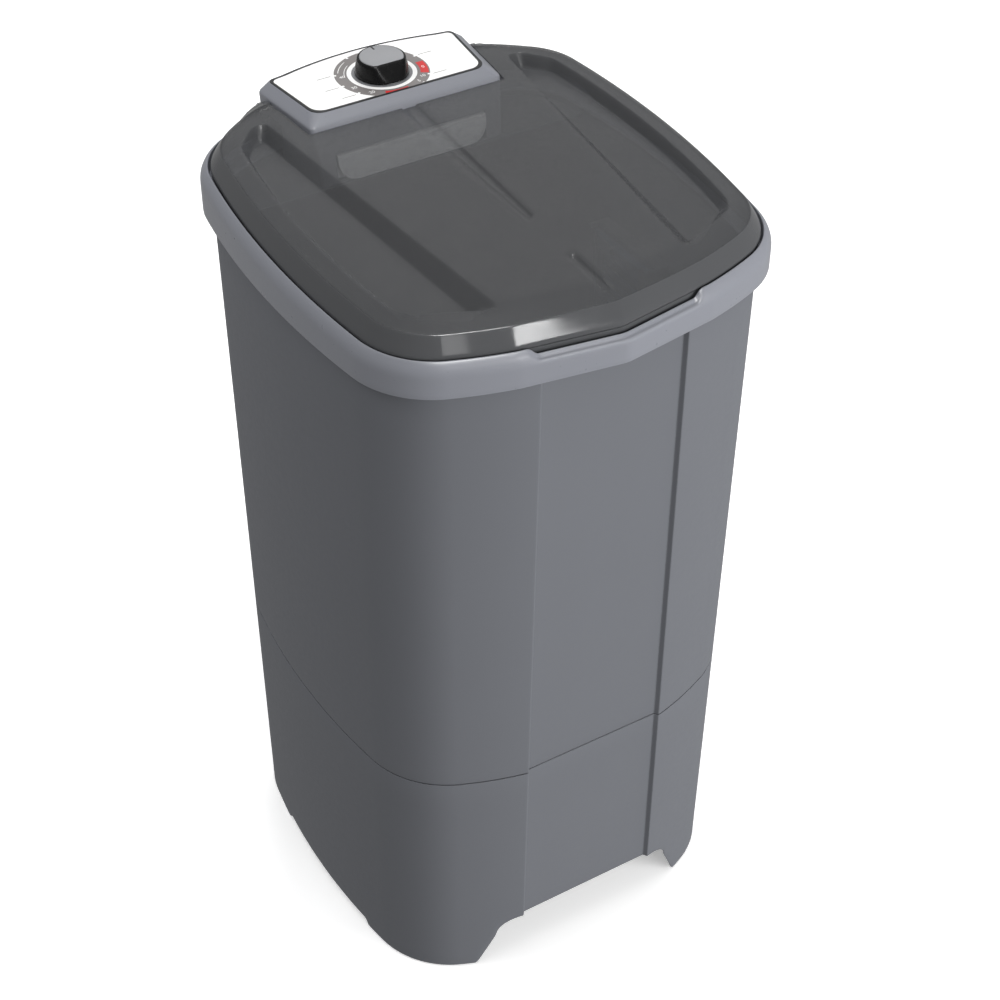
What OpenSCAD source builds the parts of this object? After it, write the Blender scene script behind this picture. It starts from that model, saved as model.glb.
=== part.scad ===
// Semi-automatic washing machine: a moulded single-tub washer with a belt-driven agitator.
// Front is -Y, left and right are -X and +X, the floor is z = 0, sizes in millimetres.

/* [Body] */
// Height of the rim's lower lip above the floor
lip_z = 800; // [700:1:900]
// Height of the seam between the cabinet and the base skirt
seam_z = 299; // [270:1:340]
// Width of the body at the floor
floor_w = 436; // [400:1:470]
// Width of the body under the rim
top_w = 447; // [410:1:480]
// Depth of the body at the floor
floor_d = 477; // [440:1:510]
// Depth of the body under the rim
top_d = 486; // [450:1:520]
// Corner radius of the body
body_r = 100; // [80:1:120]
// Outward bow of the body's sides
side_bow = 14; // [6:1:20]
// Outward bow of the body's front and back
front_bow = 28; // [16:1:34]
// Wall of the moulded shells
wall = 3; // [2:0.1:4]

/* [Front panel] */
// Half width of the sunk front panel under the rim
panel_top_x = 78; // [60:1:90]
// Half width of the sunk front panel at the floor
panel_floor_x = 82; // [60:1:90]
// Depth of the step at the panel's edges
panel_step = 4.5; // [2:0.1:7]
// Width of the slanted step wall
panel_slope = 2.7; // [1:0.1:5]

/* [Feet and arches] */
// Height of the front and back arches
arch_z = 69; // [50:1:80]
// Half width of the arches at the floor
arch_floor_x = 132; // [120:1:145]
// Height of the shallow side arches
side_arch_z = 10; // [6:1:20]
// Where the side arch starts, towards the front
side_arch_front = 106; // [60:1:115]
// Where the side arch ends, towards the back
side_arch_back = 84; // [60:1:115]
// Radius of a foot pad
pad_r = 16; // [10:0.5:20]
// Height by which the pads lift the skirt
pad_h = 2; // [1:0.1:3]

/* [Rim] */
// Overhang of the rim beyond the body
rim_over = 5.8; // [4:0.1:9]
// Corner radius of the rim
rim_r = 90; // [75:1:100]
// Height of the rim's top at the front
rim_front_z = 834; // [828:0.5:842]
// Rise of the rim's top from front to back
rim_rise = 14; // [6:0.5:16]
// Distance from the rim's outer face to the lid gap
rim_shoulder = 8; // [6:0.1:12]
// Distance from the rim's outer face to the tub mouth
mouth_in = 26; // [22:0.5:34]
// Forward reach of the rim's pointed front beyond its bow
prow = 4; // [1:0.1:8]
// Half width of the straight pointed front
prow_x = 100; // [80:1:120]
// Half width of the finger recess
recess_x = 86; // [50:1:110]
// Depth of the finger recess
recess_drop = 7; // [3:0.5:9]

/* [Lid] */
// Thickness of the lid
lid_t = 2.5; // [1.8:0.1:3.2]
// Gap between the lid and the rim
lid_gap = 2; // [1.2:0.1:3]
// Height of the lid's edge over the rim's top
lid_edge_up = 2; // [1:0.5:5]
// Height of the lid's crest over its edge
lid_crest_up = 14; // [8:0.5:18]
// Width of the sloped band round the lid
lid_band = 11; // [8:0.5:20]
// Rise of the lid's plateau over its crest
lid_plateau_up = 6; // [3:0.5:10]
// Depth of the two sunk side panels
pocket_drop = 12.5; // [6:0.5:14]
// Half distance between the side panels at the front
pocket_front_x = 95; // [80:1:110]
// Half distance between the side panels at the back
pocket_back_x = 136; // [120:1:145]
// Lift of the lid's back edge beside the console
ear_lift = 16; // [8:0.5:18]
// Half width of the lid's centre grooves
groove_r = 4.2; // [3:0.1:6]
// Radius of the lid's hinge pins
pin_r = 4; // [3:0.1:5]
// Running clearance of the pins in the lid
pin_run = 0.08; // [0.04:0.01:0.1]

/* [Console] */
// Height of the console's flat top
console_z = 878; // [872:0.5:890]
// Half width of the console at its lower front edge
console_front_x = 107; // [100:1:112]
// Half width of the console at the back
console_back_x = 116; // [110:1:120]
// Depth of the console from its front edge to the point of its bowed back
console_depth = 113.8; // [108:0.1:118]
// Wall of the console housing
console_wall = 2.5; // [2:0.1:3.5]
// Thickness of the console label
label_t = 0.6; // [0.3:0.1:1]
// Radius of the knob at its base
knob_r = 27.3; // [20:0.5:30]
// Height of the knob
knob_h = 17.2; // [14:0.5:26]
// Distance of the knob's middle from the point of the console's back
knob_back = 61.3; // [56:0.1:66]

/* [Dispenser] */
// Half width of the drawer
drawer_x = 83.5; // [60:0.5:86]
// Height of the drawer
drawer_h = 27; // [20:0.5:28]
// Depth of the drawer from front to back
drawer_d = 64; // [50:1:64]

/* [Tub] */
// Height of the tub's inner floor
tub_floor_z = 340; // [330:1:350]
// Gap between the cabinet's wall and the tub's wall at the top
tub_gap = 11; // [9:0.5:14]
// Draft of the tub's walls per side
tub_draft = 11; // [6:0.5:16]
// Radius of the agitator's disc
agitator_r = 130; // [110:1:132]
// Height of the agitator above its disc
agitator_h = 120; // [80:1:150]
// Number of agitator vanes
vanes = 4; // [3:1:6]

/* [Drive] */
// Radius of the agitator shaft
shaft_r = 6; // [5:0.1:8]
// Running clearance of shafts in their bushes
run = 0.03; // [0.02:0.01:0.08]
// Pitch radius of the driven pulley
driven_r = 90; // [80:1:95]
// Pitch radius of the motor pulley
drive_r = 19; // [16:0.5:21]
// Distance of the motor shaft in from the back of the body
motor_in = 115; // [111:1:119]
// Height of the belt's middle plane
belt_z = 183; // [178:1:190]
// Width of the belt's outer face
belt_w = 10; // [8:0.5:12]
// Radius of the motor's end shields
motor_r = 52; // [46:1:56]

/* [Drain] */
// Bore radius of the drain hose
hose_bore = 10; // [8:0.5:11]
// Wall of the drain hose
hose_wall = 2.5; // [2:0.1:3]
// Outer radius of the outlet spigot
outlet_r = 9.8; // [8:0.1:10.5]

/* [Hidden] */

$fn = 48;
face_gap = 0.3;
side_steps = 4;
corner_steps = 8;
bow_steps = 4;

// Rim, ledge and tray heights
cabinet_top = lip_z + 12;
flange_t = 3;
ledge_z = cabinet_top + flange_t + face_gap;
ledge_t = 3.2;
ledge_top = ledge_z + ledge_t;
rim_w = top_w + 2 * rim_over;
rim_d = top_d + 2 * rim_over;
rim_edge_z = lip_z + 22;
rim_tilt = rim_rise / rim_d;
tray_floor = ledge_z - 9;
tray_t = 3;
tray_front_gap = 13;
recess_ramp = 10;
ear_x = 172;
ear_run_x = 45;
ear_run_y = 60;

// Lid and its hinge
lid_in = rim_shoulder + 0.6 + lid_gap;
lid_skirt_z = ledge_top + face_gap;
lid_top = rim_front_z + lid_edge_up + lid_crest_up + lid_plateau_up;
pocket_front_in = 56.8;
pocket_back_in = 74.8;
pocket_front_y = pocket_front_in - rim_d / 2;
pocket_back_y = rim_d / 2 + prow - pocket_back_in;
groove_depth = 1;
hinge_back = 34.8;
hinge_y = rim_d / 2 + prow - hinge_back;
ear_y = hinge_y - 98;
hinge_z = console_z - 20;
hinge_x = 116;
lug_l = 8;
lug_r = 8;
boss_gap = 0.4;

// Console, timer, knob and dispenser
console_floor = tray_floor + tray_t;
console_rear_z = rim_front_z + rim_rise + 0.6;
console_side_z = console_z - 8;
console_back_y = rim_d / 2 + prow;
console_front_y = console_back_y - console_depth;
tray_front = console_front_y - tray_front_gap;
knob_y = console_back_y - knob_back;
console_bow = 15.6;
console_rear_yb = console_back_y - console_bow;
console_top_in = 9;
console_top_back_in = 7.6;
console_top_front_in = 10.5;
console_top_bow = 13;
console_top_r = 14;
console_edge_r = 5;
console_foot_in = 4;
console_foot_back_in = 6;
console_foot_out = 10;
console_rear_in = 1.5;
lower_back = rim_d / 2 - mouth_in - tray_t - 17;
label_step = 1;
sleeve_z = console_floor;
sleeve_t = 2;
sleeve_front = console_front_y - 2;
drawer_z = sleeve_z + sleeve_t + face_gap;
drawer_y = sleeve_front - 2;
drawer_front_t = 5;
timer_neck_r = 5;
timer_r = 20;
timer_top = console_z - console_wall;
timer_bottom = sleeve_z + drawer_h + 9;
timer_ear_z = timer_top - 11;
timer_ear_t = 3;
timer_screw_x = 30;
timer_screw_r = 1.5;
console_screw_r = 1.75;
console_screw_x = console_front_x - 15;
knob_shaft_r = 3;
knob_base = console_z + label_t + 0.6;
knob_top = knob_base + knob_h;
knob_top_r = knob_r - 3.5;
knob_flat = 6.5;
knob_flat_lean = 28;

// Tub, agitator and bearing housing
tub_wall = 3;
tub_under = tub_floor_z - tub_wall;
tub_w = top_w - 2 * wall - 2 * tub_gap;
tub_d = top_d - 2 * wall - 2 * tub_gap;
tub_r = 76;
tub_front = panel_y(lip_z, wall) - 2;
hub_boss_r = 62;
hub_boss_h = 5;
disc_z = tub_floor_z + hub_boss_h + 3;
disc_t = 7;
hub_top = disc_z + 52;
post_r = 30;
post_top_r = 24;
agitator_top = disc_z + agitator_h;
neck_r = 22;
neck_top = tub_floor_z + hub_boss_h + 1.2;
seat_r = 10;
bush_l = 20;
seal_r = 15;
housing_bottom = belt_z + 17;
housing_flange_r = 52;
housing_flange_t = 7;
housing_bolt_r = 2.5;
housing_bolt_at = 42;

// Shafts, pulleys and belt
shaft_bottom = belt_z - 27;
shaft_top = hub_top - 2;
nut_z = belt_z - 19;
pulley_bottom = nut_z + 8;
pulley_hub_top = belt_z + 13;
groove_floor = 5;
groove_top = 3.5;
groove_half = 3;
groove_flank = 0.33;
belt_in = 2;
belt_out = 3;
belt_side_gap = 0.3;

// Motor under the tub
centre_d = top_d / 2 - motor_in;
bracket_t = 3;
mount_boss = 10;
mount_t = 4;
bracket_z = tub_under - mount_boss - mount_t - bracket_t;
mount_x = 55;
mount_near = centre_d - 50;
mount_far = centre_d + 24;
mount_screw_r = 2.5;
motor_top = bracket_z;
shield_h = 28;
shield_t = 4;
stator_h = 46;
stator_z = motor_top - shield_h - stator_h;
lower_shield_bottom = stator_z - shield_h;
rotor_r = 27;
rotor_shaft_r = 5;
bearing_r = 11;
bearing_h = 9;
upper_bearing_z = motor_top - shield_t - bearing_h;
lower_bearing_z = lower_shield_bottom + shield_t;
bolt_at = motor_r - 6;
through_r = 2.2;
winding_h = 14;
fan_z = belt_z + 12;
fan_h = 16;
fan_r = 34;

// Skirt, guard, feet and seam
guard_z = arch_z + 17;
guard_t = 2.5;
guard_ledge_d = 16;
guard_ledge_h = 8;
guard_screw_r = 2;
sole_edge = 2;
arch_lean = 0.46;
arch_shoulder = 23;
pad_x = arch_floor_x + pad_r + sole_edge;
pad_y = floor_d / 2 - 68.5;
sole_t = 3;
side_arch_half = (side_arch_back + side_arch_front) / 2;
seam_screw_x = 110;
seam_screw_z = seam_z + 7;
seam_screw_r = 2;
lip_gap = 0.3;
lip_h = 14;

// Capacitor, filter, drain and wiring
cap_r = 18;
cap_h = 72;
cap_y = 20;
cap_z = 150;
cap_x = body_x(cap_y, cap_z) - wall - 12 - cap_r;
filter_y = 20;
filter_w = 110;
filter_z = 560;
filter_h = 150;
filter_t = 16;
filter_back = tub_w / 2 - tub_wall - tub_draft - 6;
drain_x = -92;
drain_y = -64;
grate_r = 15;
hose_r = hose_bore + hose_wall;
elbow_z = tub_under - 32;
elbow_end = -150;
outlet_x = -128;
outlet_z = 112;
outlet_l = 28;
outlet_boss = 5;
harness_r = 3;
clip_seat = 0.55;
spigot_r = hose_bore - 0.5;
harness_x = 58;
harness_y = harness_at(lip_z);
gland_r = 8;
gland_x = 128;
gland_z = 240;

function lerp(a, b, k) = a + (b - a) * k;
function smooth(k) = let (c = max(0, min(1, k))) c * c * (3 - 2 * c);

// Corner centre of a bowed rectangle, found by repeated substitution
function corner_at(a, b, rx, ry, x, y, n) = n == 0 ? [x, y]
    : corner_at(a, b, rx, ry, a - rx + sqrt(rx * rx - y * y), b - ry + sqrt(ry * ry - x * x), n - 1);

// Radius of an arc through a chord's half length and its bow
function bow_radius(half, bow) = (half * half + bow * bow) / (2 * bow);

// Quarter of a rounded rectangle with bowed sides, from the middle of +X to the middle of +Y
function quarter(w, d, r, sx = side_bow, sy = front_bow) = let (
    a = w / 2 - r, b = d / 2 - r, rx = bow_radius(b, sx), ry = bow_radius(a, sy),
    c = corner_at(a, b, rx, ry, a, b, 12), ta = asin(c[1] / rx), tb = asin(c[0] / ry))
    concat(
        [for (i = [0 : side_steps - 1]) let (t = ta * i / side_steps)
            [a - rx + (rx + r) * cos(t), (rx + r) * sin(t)]],
        [for (i = [0 : corner_steps]) let (t = ta + (90 - tb - ta) * i / corner_steps)
            [c[0] + r * cos(t), c[1] + r * sin(t)]],
        [for (i = [1 : bow_steps]) let (t = tb * (1 - i / bow_steps))
            [(ry + r) * sin(t), b - ry + (ry + r) * cos(t)]]);

// Y of the bowed front at a given x
function bow_y(w, d, r, x, sy = front_bow) = let (ry = bow_radius(w / 2 - r, sy))
    d / 2 - ry - r + sqrt((ry + r) * (ry + r) - x * x);

// X of the bowed side at a given y
function bow_x(w, d, r, y, sx = side_bow) = let (rx = bow_radius(d / 2 - r, sx))
    w / 2 - rx - r + sqrt((rx + r) * (rx + r) - y * y);

// Whole outline from its back quarter and its front quarter
function ring_from(back, front) = concat(back,
    [for (i = [len(back) - 2 : -1 : 0]) [-back[i][0], back[i][1]]],
    [for (i = [1 : len(front) - 1]) [-front[i][0], -front[i][1]]],
    [for (i = [len(front) - (front[len(front) - 1][0] == 0 ? 2 : 1) : -1 : 1])
        [front[i][0], -front[i][1]]]);

function outline(w, d, r, sx = side_bow, sy = front_bow) =
    let (q = quarter(w, d, r, sx, sy)) ring_from(q, q);

function body_w(z) = lerp(floor_w, top_w, z / lip_z);
function body_d(z) = lerp(floor_d, top_d, z / lip_z);
function panel_x(z) = lerp(panel_floor_x, panel_top_x, z / lip_z);
function body_y(x, z, t = 0) = bow_y(body_w(z), body_d(z), body_r, x) - t;
function body_x(y, z, t = 0) = bow_x(body_w(z), body_d(z), body_r, y) - t;
function panel_y(z, t = 0) = body_y(panel_x(z), z, t) - panel_step;

// Front quarter of the body with the sunk flat panel, inset by t
function panel_quarter(z, t) = let (
    w = body_w(z) - 2 * t, d = body_d(z) - 2 * t, r = body_r - t,
    q = quarter(w, d, r), k = side_steps + corner_steps, x0 = q[k][0], xo = panel_x(z) + t)
    concat([for (i = [0 : k]) q[i]],
        [for (i = [1 : 2]) let (x = lerp(x0, xo, i / 2)) [x, bow_y(w, d, r, x)]],
        [[xo - panel_slope, bow_y(w, d, r, xo) - panel_step]]);

function at_height(ring, z) = [for (p = ring) [p[0], p[1], z]];

function body_ring(z, t) = at_height(
    ring_from(quarter(body_w(z) - 2 * t, body_d(z) - 2 * t, body_r - t), panel_quarter(z, t)), z);

// Outline at a distance inside the rim's outer face, with the straight pointed front
function rim_ring(inset, with_prow = true) = let (
    w = rim_w - 2 * inset, d = rim_d - 2 * inset, r = rim_r - inset,
    ye = bow_y(w, d, r, prow_x), yp = d / 2 + prow)
    [for (p = outline(w, d, r))
        with_prow && p[1] < 0 && abs(p[0]) < prow_x
            ? [p[0], -lerp(yp, ye, abs(p[0]) / prow_x)] : p];

// Height of a sloping line on the rim or lid, low at the front
function sloped(z, y) = z + rim_tilt * (y + rim_d / 2);
function recess_at(x, y) = y > 0 ? 0
    : recess_drop * smooth((recess_x + recess_ramp / 2 - abs(x)) / recess_ramp);
// The recess lowers the rim's inner edge and leaves its outer edge as it is
function rim_line(inset, z) = let (dip = min(1, 1.8 * inset / rim_shoulder))
    [for (p = rim_ring(inset)) [p[0], p[1], sloped(z, p[1]) - dip * recess_at(p[0], p[1])]];

// Lift of the lid beside the console
function ear_at(x, y) = ear_lift * smooth((ear_x - abs(x)) / ear_run_x) * smooth((y - ear_y) / ear_run_y);
function lid_line(inset, z, lift = 1) =
    [for (p = rim_ring(inset)) [p[0], p[1], sloped(z, p[1]) + lift * ear_at(p[0], p[1])]];

// Solid through a stack of closed rings, with flat ends
module loft(rings) {
    n = len(rings[0]);
    m = len(rings);
    sides = [for (j = [0 : m - 2]) for (i = [0 : n - 1])
        let (a = j * n + i, b = j * n + (i + 1) % n, c = b + n, d = a + n)
        each [[a, c, b], [a, d, c]]];
    polyhedron([for (r = rings) each r],
        concat(sides, [[for (i = [0 : n - 1]) i]], [[for (i = [n - 1 : -1 : 0]) (m - 1) * n + i]]));
}

// Ring-shaped solid whose cross-section runs through the given closed rings
module ring_solid(rings) {
    n = len(rings[0]);
    m = len(rings);
    polyhedron([for (r = rings) each r],
        [for (j = [0 : m - 1]) for (i = [0 : n - 1])
            let (k = (j + 1) % m, a = j * n + i, b = j * n + (i + 1) % n,
                c = k * n + (i + 1) % n, d = k * n + i)
            each [[a, c, b], [a, d, c]]]);
}

// Tube along the X axis
module x_cylinder(r, x0, x1) {
    translate([x0, 0, 0]) rotate([0, 90, 0]) cylinder(r = r, h = x1 - x0);
}

// Straight tube between two heights
module tube(r_out, r_in, z0, z1) {
    translate([0, 0, z0]) difference() {
        cylinder(r = r_out, h = z1 - z0);
        translate([0, 0, -1]) cylinder(r = r_in, h = z1 - z0 + 2);
    }
}

module cabinet() {
    color([0.44, 0.45, 0.47]) difference() {
        ring_solid([body_ring(seam_z + face_gap, 0), body_ring(cabinet_top, 0),
            body_ring(cabinet_top, wall), body_ring(seam_z + face_gap, wall)]);
        seam_screw_holes();
    }
}

// Screws that hold the cabinet to the skirt, at the back of the seam

module at_seam_screws() {
    for (x = [-seam_screw_x, 0, seam_screw_x])
        translate([x, body_y(x, seam_screw_z), seam_screw_z])
            rotate([0, 0, -asin(x / (bow_radius(top_w / 2 - body_r, front_bow) + body_r))])
                rotate([-90, 0, 0]) children();
}

module seam_screw_holes() {
    at_seam_screws() translate([0, 0, -12]) cylinder(r = seam_screw_r + 0.1, h = 20);
}

module seam_screws() {
    color("silver") at_seam_screws() {
        translate([0, 0, -9]) cylinder(r = seam_screw_r, h = 9.3);
        translate([0, 0, 0.3]) cylinder(r1 = 4, r2 = 3, h = 2);
    }
}

// Cutter under a wall, from foot to foot: a straight leg that rounds into the top over the shoulder
module arch_cut(x_floor, x_top, z_top, lean, shoulder) {
    z_leg = z_top - shoulder;
    x_leg = x_floor - lean * (z_leg - pad_h);
    side = concat([[x_floor, pad_h]], [for (i = [0 : 6]) let (a = 15 * i)
        [x_leg - (x_leg - x_top) * (1 - cos(a)), z_leg + shoulder * sin(a)]]);
    rotate([90, 0, 0]) linear_extrude(60, center = true)
        polygon(concat([[-x_floor, -1], [x_floor, -1]], side,
            [for (i = [len(side) - 1 : -1 : 0]) [-side[i][0], side[i][1]]]));
}

module at_pads() {
    for (x = [-pad_x, pad_x]) for (y = [-pad_y, pad_y]) translate([x, y, 0]) children();
}

// Places of the guard's ledges: on the front and back walls, then on the sides
module at_guard_ledges() {
    for (x = [-60, 60]) {
        translate([x, -panel_y(guard_z, wall / 2), guard_z]) children();
        translate([x, body_y(abs(x) + 10, guard_z, wall / 2), guard_z]) rotate([0, 0, 180]) children();
    }
    for (s = [-1, 1])
        translate([s * body_x(10, guard_z, wall / 2), 0, guard_z]) rotate([0, 0, s * 90]) children();
}

module base_skirt() {
    color([0.43, 0.44, 0.46]) difference() {
        union() {
            difference() {
                ring_solid([body_ring(pad_h, 0), body_ring(seam_z, 0),
                    body_ring(seam_z, wall + lip_gap), body_ring(seam_z + lip_h, wall + lip_gap),
                    body_ring(seam_z + lip_h, 2 * wall + lip_gap),
                    body_ring(seam_z - 6, 2 * wall + lip_gap),
                    body_ring(seam_z - 12, wall), body_ring(pad_h, wall)]);
                for (s = [-1, 1]) {
                    translate([0, s * floor_d / 2, 0]) arch_cut(arch_floor_x, panel_floor_x, arch_z, arch_lean, arch_shoulder);
                    translate([s * floor_w / 2, (side_arch_back - side_arch_front) / 2, 0]) rotate([0, 0, 90])
                        arch_cut(side_arch_half, side_arch_half - 8, side_arch_z, 0.6, 4);
                }
            }
            foot_soles();
            at_guard_ledges() translate([-10, 0, -guard_ledge_h])
                cube([20, guard_ledge_d, guard_ledge_h]);
            clip_boss();
            outlet_place() translate([0, 0, -6]) cylinder(r = outlet_r + 6, h = outlet_boss + 6);
        }
        at_pads() translate([0, 0, -1]) cylinder(r = pad_r / 3 + 0.05, h = 20);
        at_guard_ledges() translate([0, guard_ledge_d / 2 + 2, -guard_ledge_h - 1])
            cylinder(r = guard_screw_r + 0.05, h = 20);
        seam_screw_holes();
        gland_place() translate([0, 0, -10]) cylinder(r = gland_r, h = 20);
        outlet_place() translate([0, 0, -12]) cylinder(r = outlet_r + 0.2, h = 24);
    }
}

// Floor of each foot, inside the wall
module foot_soles() {
    intersection() {
        loft([at_height(outline(body_w(pad_h) - wall, body_d(pad_h) - wall, body_r - wall / 2), pad_h),
            at_height(outline(body_w(pad_h) - wall, body_d(pad_h) - wall, body_r - wall / 2),
                pad_h + sole_t)]);
        for (x = [-1, 1]) for (y = [-1, 1])
            translate([x * (pad_x - pad_r - sole_edge + body_r / 2), y * (pad_y - pad_r - sole_edge + body_r / 2),
                pad_h + sole_t / 2]) cube([body_r, body_r, 2 * sole_t], center = true);
    }
}

module foot_pads() {
    color([0.08, 0.08, 0.08]) at_pads() {
        cylinder(r = pad_r, h = pad_h);
        translate([0, 0, pad_h - 0.01]) cylinder(r = pad_r / 3, h = sole_t + 3);
    }
}

module bottom_guard() {
    slot_w = 8;
    color([0.07, 0.07, 0.07]) difference() {
        loft([at_height(guard_ring(), guard_z), at_height(guard_ring(), guard_z + guard_t)]);
        for (i = [-5 : 5])
            translate([-70, i * 2 * slot_w - slot_w / 2, guard_z - 1]) cube([140, slot_w, guard_t + 2]);
        at_guard_ledges() translate([0, guard_ledge_d / 2 + 2, -1])
            cylinder(r = guard_screw_r + 0.3, h = 10);
    }
}

function guard_ring() = [for (p = outline(body_w(guard_z) - 2 * wall - 2, body_d(guard_z) - 2 * wall - 2,
    body_r - wall - 1)) [p[0], max(p[1], -panel_y(guard_z, wall) + 1)]];

module guard_screws() {
    color("silver") at_guard_ledges() translate([0, guard_ledge_d / 2 + 2, 0]) {
        translate([0, 0, -guard_ledge_h + 1]) cylinder(r = guard_screw_r, h = guard_ledge_h + guard_t - 1);
        translate([0, 0, guard_t]) cylinder(r = 4, h = 2);
    }
}

module top_rim() {
    shoulder = rim_shoulder;
    color([0.60, 0.61, 0.64]) difference() {
        ring_solid([at_height(rim_ring(0), lip_z),
            rim_line(0, rim_edge_z),
            rim_line(shoulder * 0.15, lerp(rim_edge_z, rim_front_z, 0.45)),
            rim_line(shoulder * 0.5, lerp(rim_edge_z, rim_front_z, 0.85)),
            rim_line(shoulder, rim_front_z),
            at_height(rim_ring(shoulder + 0.6), ledge_top),
            at_height(rim_ring(mouth_in, false), ledge_top),
            at_height(rim_ring(mouth_in, false), ledge_z),
            at_height(rim_ring(wall), ledge_z),
            at_height(rim_ring(wall), lip_z)]);
        harness_place() cylinder(r = harness_r + 1.5, h = 2 * lip_z);
    }
}

// Tray under the rim's ledge, behind the tub mouth, that carries the console
module tray_block(inset, z0, z1, y0) {
    intersection() {
        loft([at_height(rim_ring(inset, false), z0), at_height(rim_ring(inset, false), z1)]);
        translate([-rim_w, y0, z0 - 1]) cube([2 * rim_w, rim_d, 60]);
    }
}

module console_tray() {
    color([0.34, 0.35, 0.36]) difference() {
        tray_block(mouth_in - tray_t + 1, tray_floor, ledge_z, tray_front);
        tray_block(mouth_in, console_floor, ledge_z + 1, tray_front - 1);
        at_console_screws() translate([0, 0, -20]) cylinder(r = 2.3, h = 40);
    }
}

// Tub: bowl under a flange that hangs on the cabinet's top edge
function tub_ring(z, shrink, t) = let (k = 1 - shrink / 110) at_height(
    [for (p = outline(tub_w - 2 * shrink - 2 * t, tub_d - 2 * shrink - 2 * t, tub_r + 0.3 * shrink - t,
        side_bow * 0.8 * k, front_bow * 0.8 * k)) [p[0], max(p[1], t - tub_front)]], z);

module tub_shape(t) {
    loft([tub_ring(tub_under + t, tub_draft + 56, t), tub_ring(tub_under + 5 + t, tub_draft + 32, t),
        tub_ring(tub_under + 21 + t * 0.7, tub_draft + 12, t), tub_ring(tub_under + 60, tub_draft, t),
        tub_ring(cabinet_top + (t > 0 ? 20 : 1), 0, t)]);
}

module wash_tub() {
    flange = at_height(outline(top_w, top_d, body_r), cabinet_top);
    color([0.34, 0.35, 0.36]) difference() {
        union() {
            tub_shape(0);
            loft([flange, [for (p = flange) [p[0], p[1], cabinet_top + flange_t]]]);
            at_rubber_mounts() translate([0, 0, tub_under - mount_boss]) cylinder(r = 9, h = mount_boss + 1);
        }
        difference() {
            tub_shape(tub_wall);
            translate([0, 0, tub_floor_z - 1]) cylinder(r = hub_boss_r, h = hub_boss_h + 1);
        }
        cylinder(r = neck_r + 0.3, h = lip_z);
        at_housing_bolts() cylinder(r = housing_bolt_r + 0.1, h = tub_floor_z + 3);
        at_rubber_mounts() translate([0, 0, tub_under - mount_boss - 1])
            cylinder(r = mount_screw_r + 0.05, h = 12);
        drain_place() cylinder(r = grate_r + 0.1, h = lip_z);
        harness_place() cylinder(r = harness_r + 1.5, h = 2 * lip_z);
    }
}

// Console outline: straight front, flared sides, bowed back
function console_ring(z, xf, xb, yf, yb, bow, r) = let (half = concat(
    [for (i = [0 : 3]) [xf - r + r * sin(28 * i), yf + r - r * cos(28 * i)]],
    [for (i = [0 : 3]) [xb - 6 + 6 * cos(26 * i), yb - 6 + 6 * sin(26 * i)]],
    [for (i = [1 : 5]) let (k = 1 - i / 5) [(xb - 10) * k, yb + bow * (1 - k * k)]]))
    at_height(concat(half, [for (i = [len(half) - 2 : -1 : 0]) [-half[i][0], half[i][1]]]), z);

// Outline of the console's flat top, moved in by t
function console_top(z, t) = console_ring(z, console_front_x - console_top_in - t,
    console_back_x - console_top_back_in - t, console_front_y + console_top_front_in + t,
    console_rear_yb + 1 - t, console_top_bow, console_top_r);

module console_upper(t) {
    loft([console_ring(console_rear_z + t, console_front_x - console_rear_in - t, console_back_x - 1 - t,
            console_front_y - console_edge_r + t, console_rear_yb - 0.5 - t, console_bow, console_edge_r),
        console_ring(console_side_z, console_front_x - t, console_back_x - t,
            console_front_y + t, console_rear_yb - t, console_bow, console_edge_r),
        console_top(console_z - t, t)]);
}

module console_lower(t) {
    loft([console_ring(console_floor - t, console_front_x - console_foot_in - t,
            console_back_x - console_foot_back_in - t, console_front_y - console_foot_out + t,
            lower_back - t, console_top_bow, console_edge_r),
        console_ring(console_rear_z + 2 + 2 * t, console_front_x - console_rear_in - t,
            console_back_x - console_foot_back_in - t, console_front_y - console_edge_r + 0.5 + t,
            lower_back - t, console_top_bow, console_edge_r)]);
}

module console_housing() {
    color([0.60, 0.61, 0.64]) difference() {
        union() {
            console_upper(0);
            console_lower(0);
            for (s = [-1, 1]) hinge_boss(s);
            at_console_screws() cylinder(r = 5, h = 12);
        }
        difference() {
            union() {
                console_upper(console_wall);
                console_lower(console_wall);
            }
            at_console_screws() translate([0, 0, -5]) cylinder(r = 5, h = 17);
            for (s = [-1, 1]) hinge_boss(s);
            at_timer_screws() cylinder(r = 3.5, h = timer_top - timer_ear_z);
        }
        translate([0, hinge_y, hinge_z]) x_cylinder(pin_r + 0.02, -hinge_x - 5, -hinge_x + 14);
        translate([0, hinge_y, hinge_z]) x_cylinder(pin_r + 0.02, hinge_x - 14, hinge_x + 5);
        translate([0, knob_y, console_z - 20]) cylinder(r = timer_neck_r + 0.2, h = 40);
        translate([-drawer_x - 0.5, console_front_y - 39, sleeve_z + sleeve_t])
            cube([2 * drawer_x + 1, 60, drawer_h + 1]);
        at_console_screws() translate([0, 0, -1]) cylinder(r = console_screw_r + 0.05, h = 11);
        at_timer_screws() translate([0, 0, -1]) cylinder(r = timer_screw_r + 0.05, h = 8);
        translate([harness_x, harness_y, console_rear_z - 5]) cylinder(r = harness_r + 1.5, h = 10);
    }
}

module hinge_boss(s) {
    translate([0, hinge_y, hinge_z]) {
        if (s > 0) x_cylinder(lug_r, hinge_x - 12, hinge_x - boss_gap);
        else x_cylinder(lug_r, -hinge_x + boss_gap, -hinge_x + 12);
    }
}

module at_console_screws() {
    for (x = [-console_screw_x, console_screw_x]) for (y = [console_front_y - 2.5, lower_back - 3.8])
        translate([x, y, console_floor]) children();
}

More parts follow.
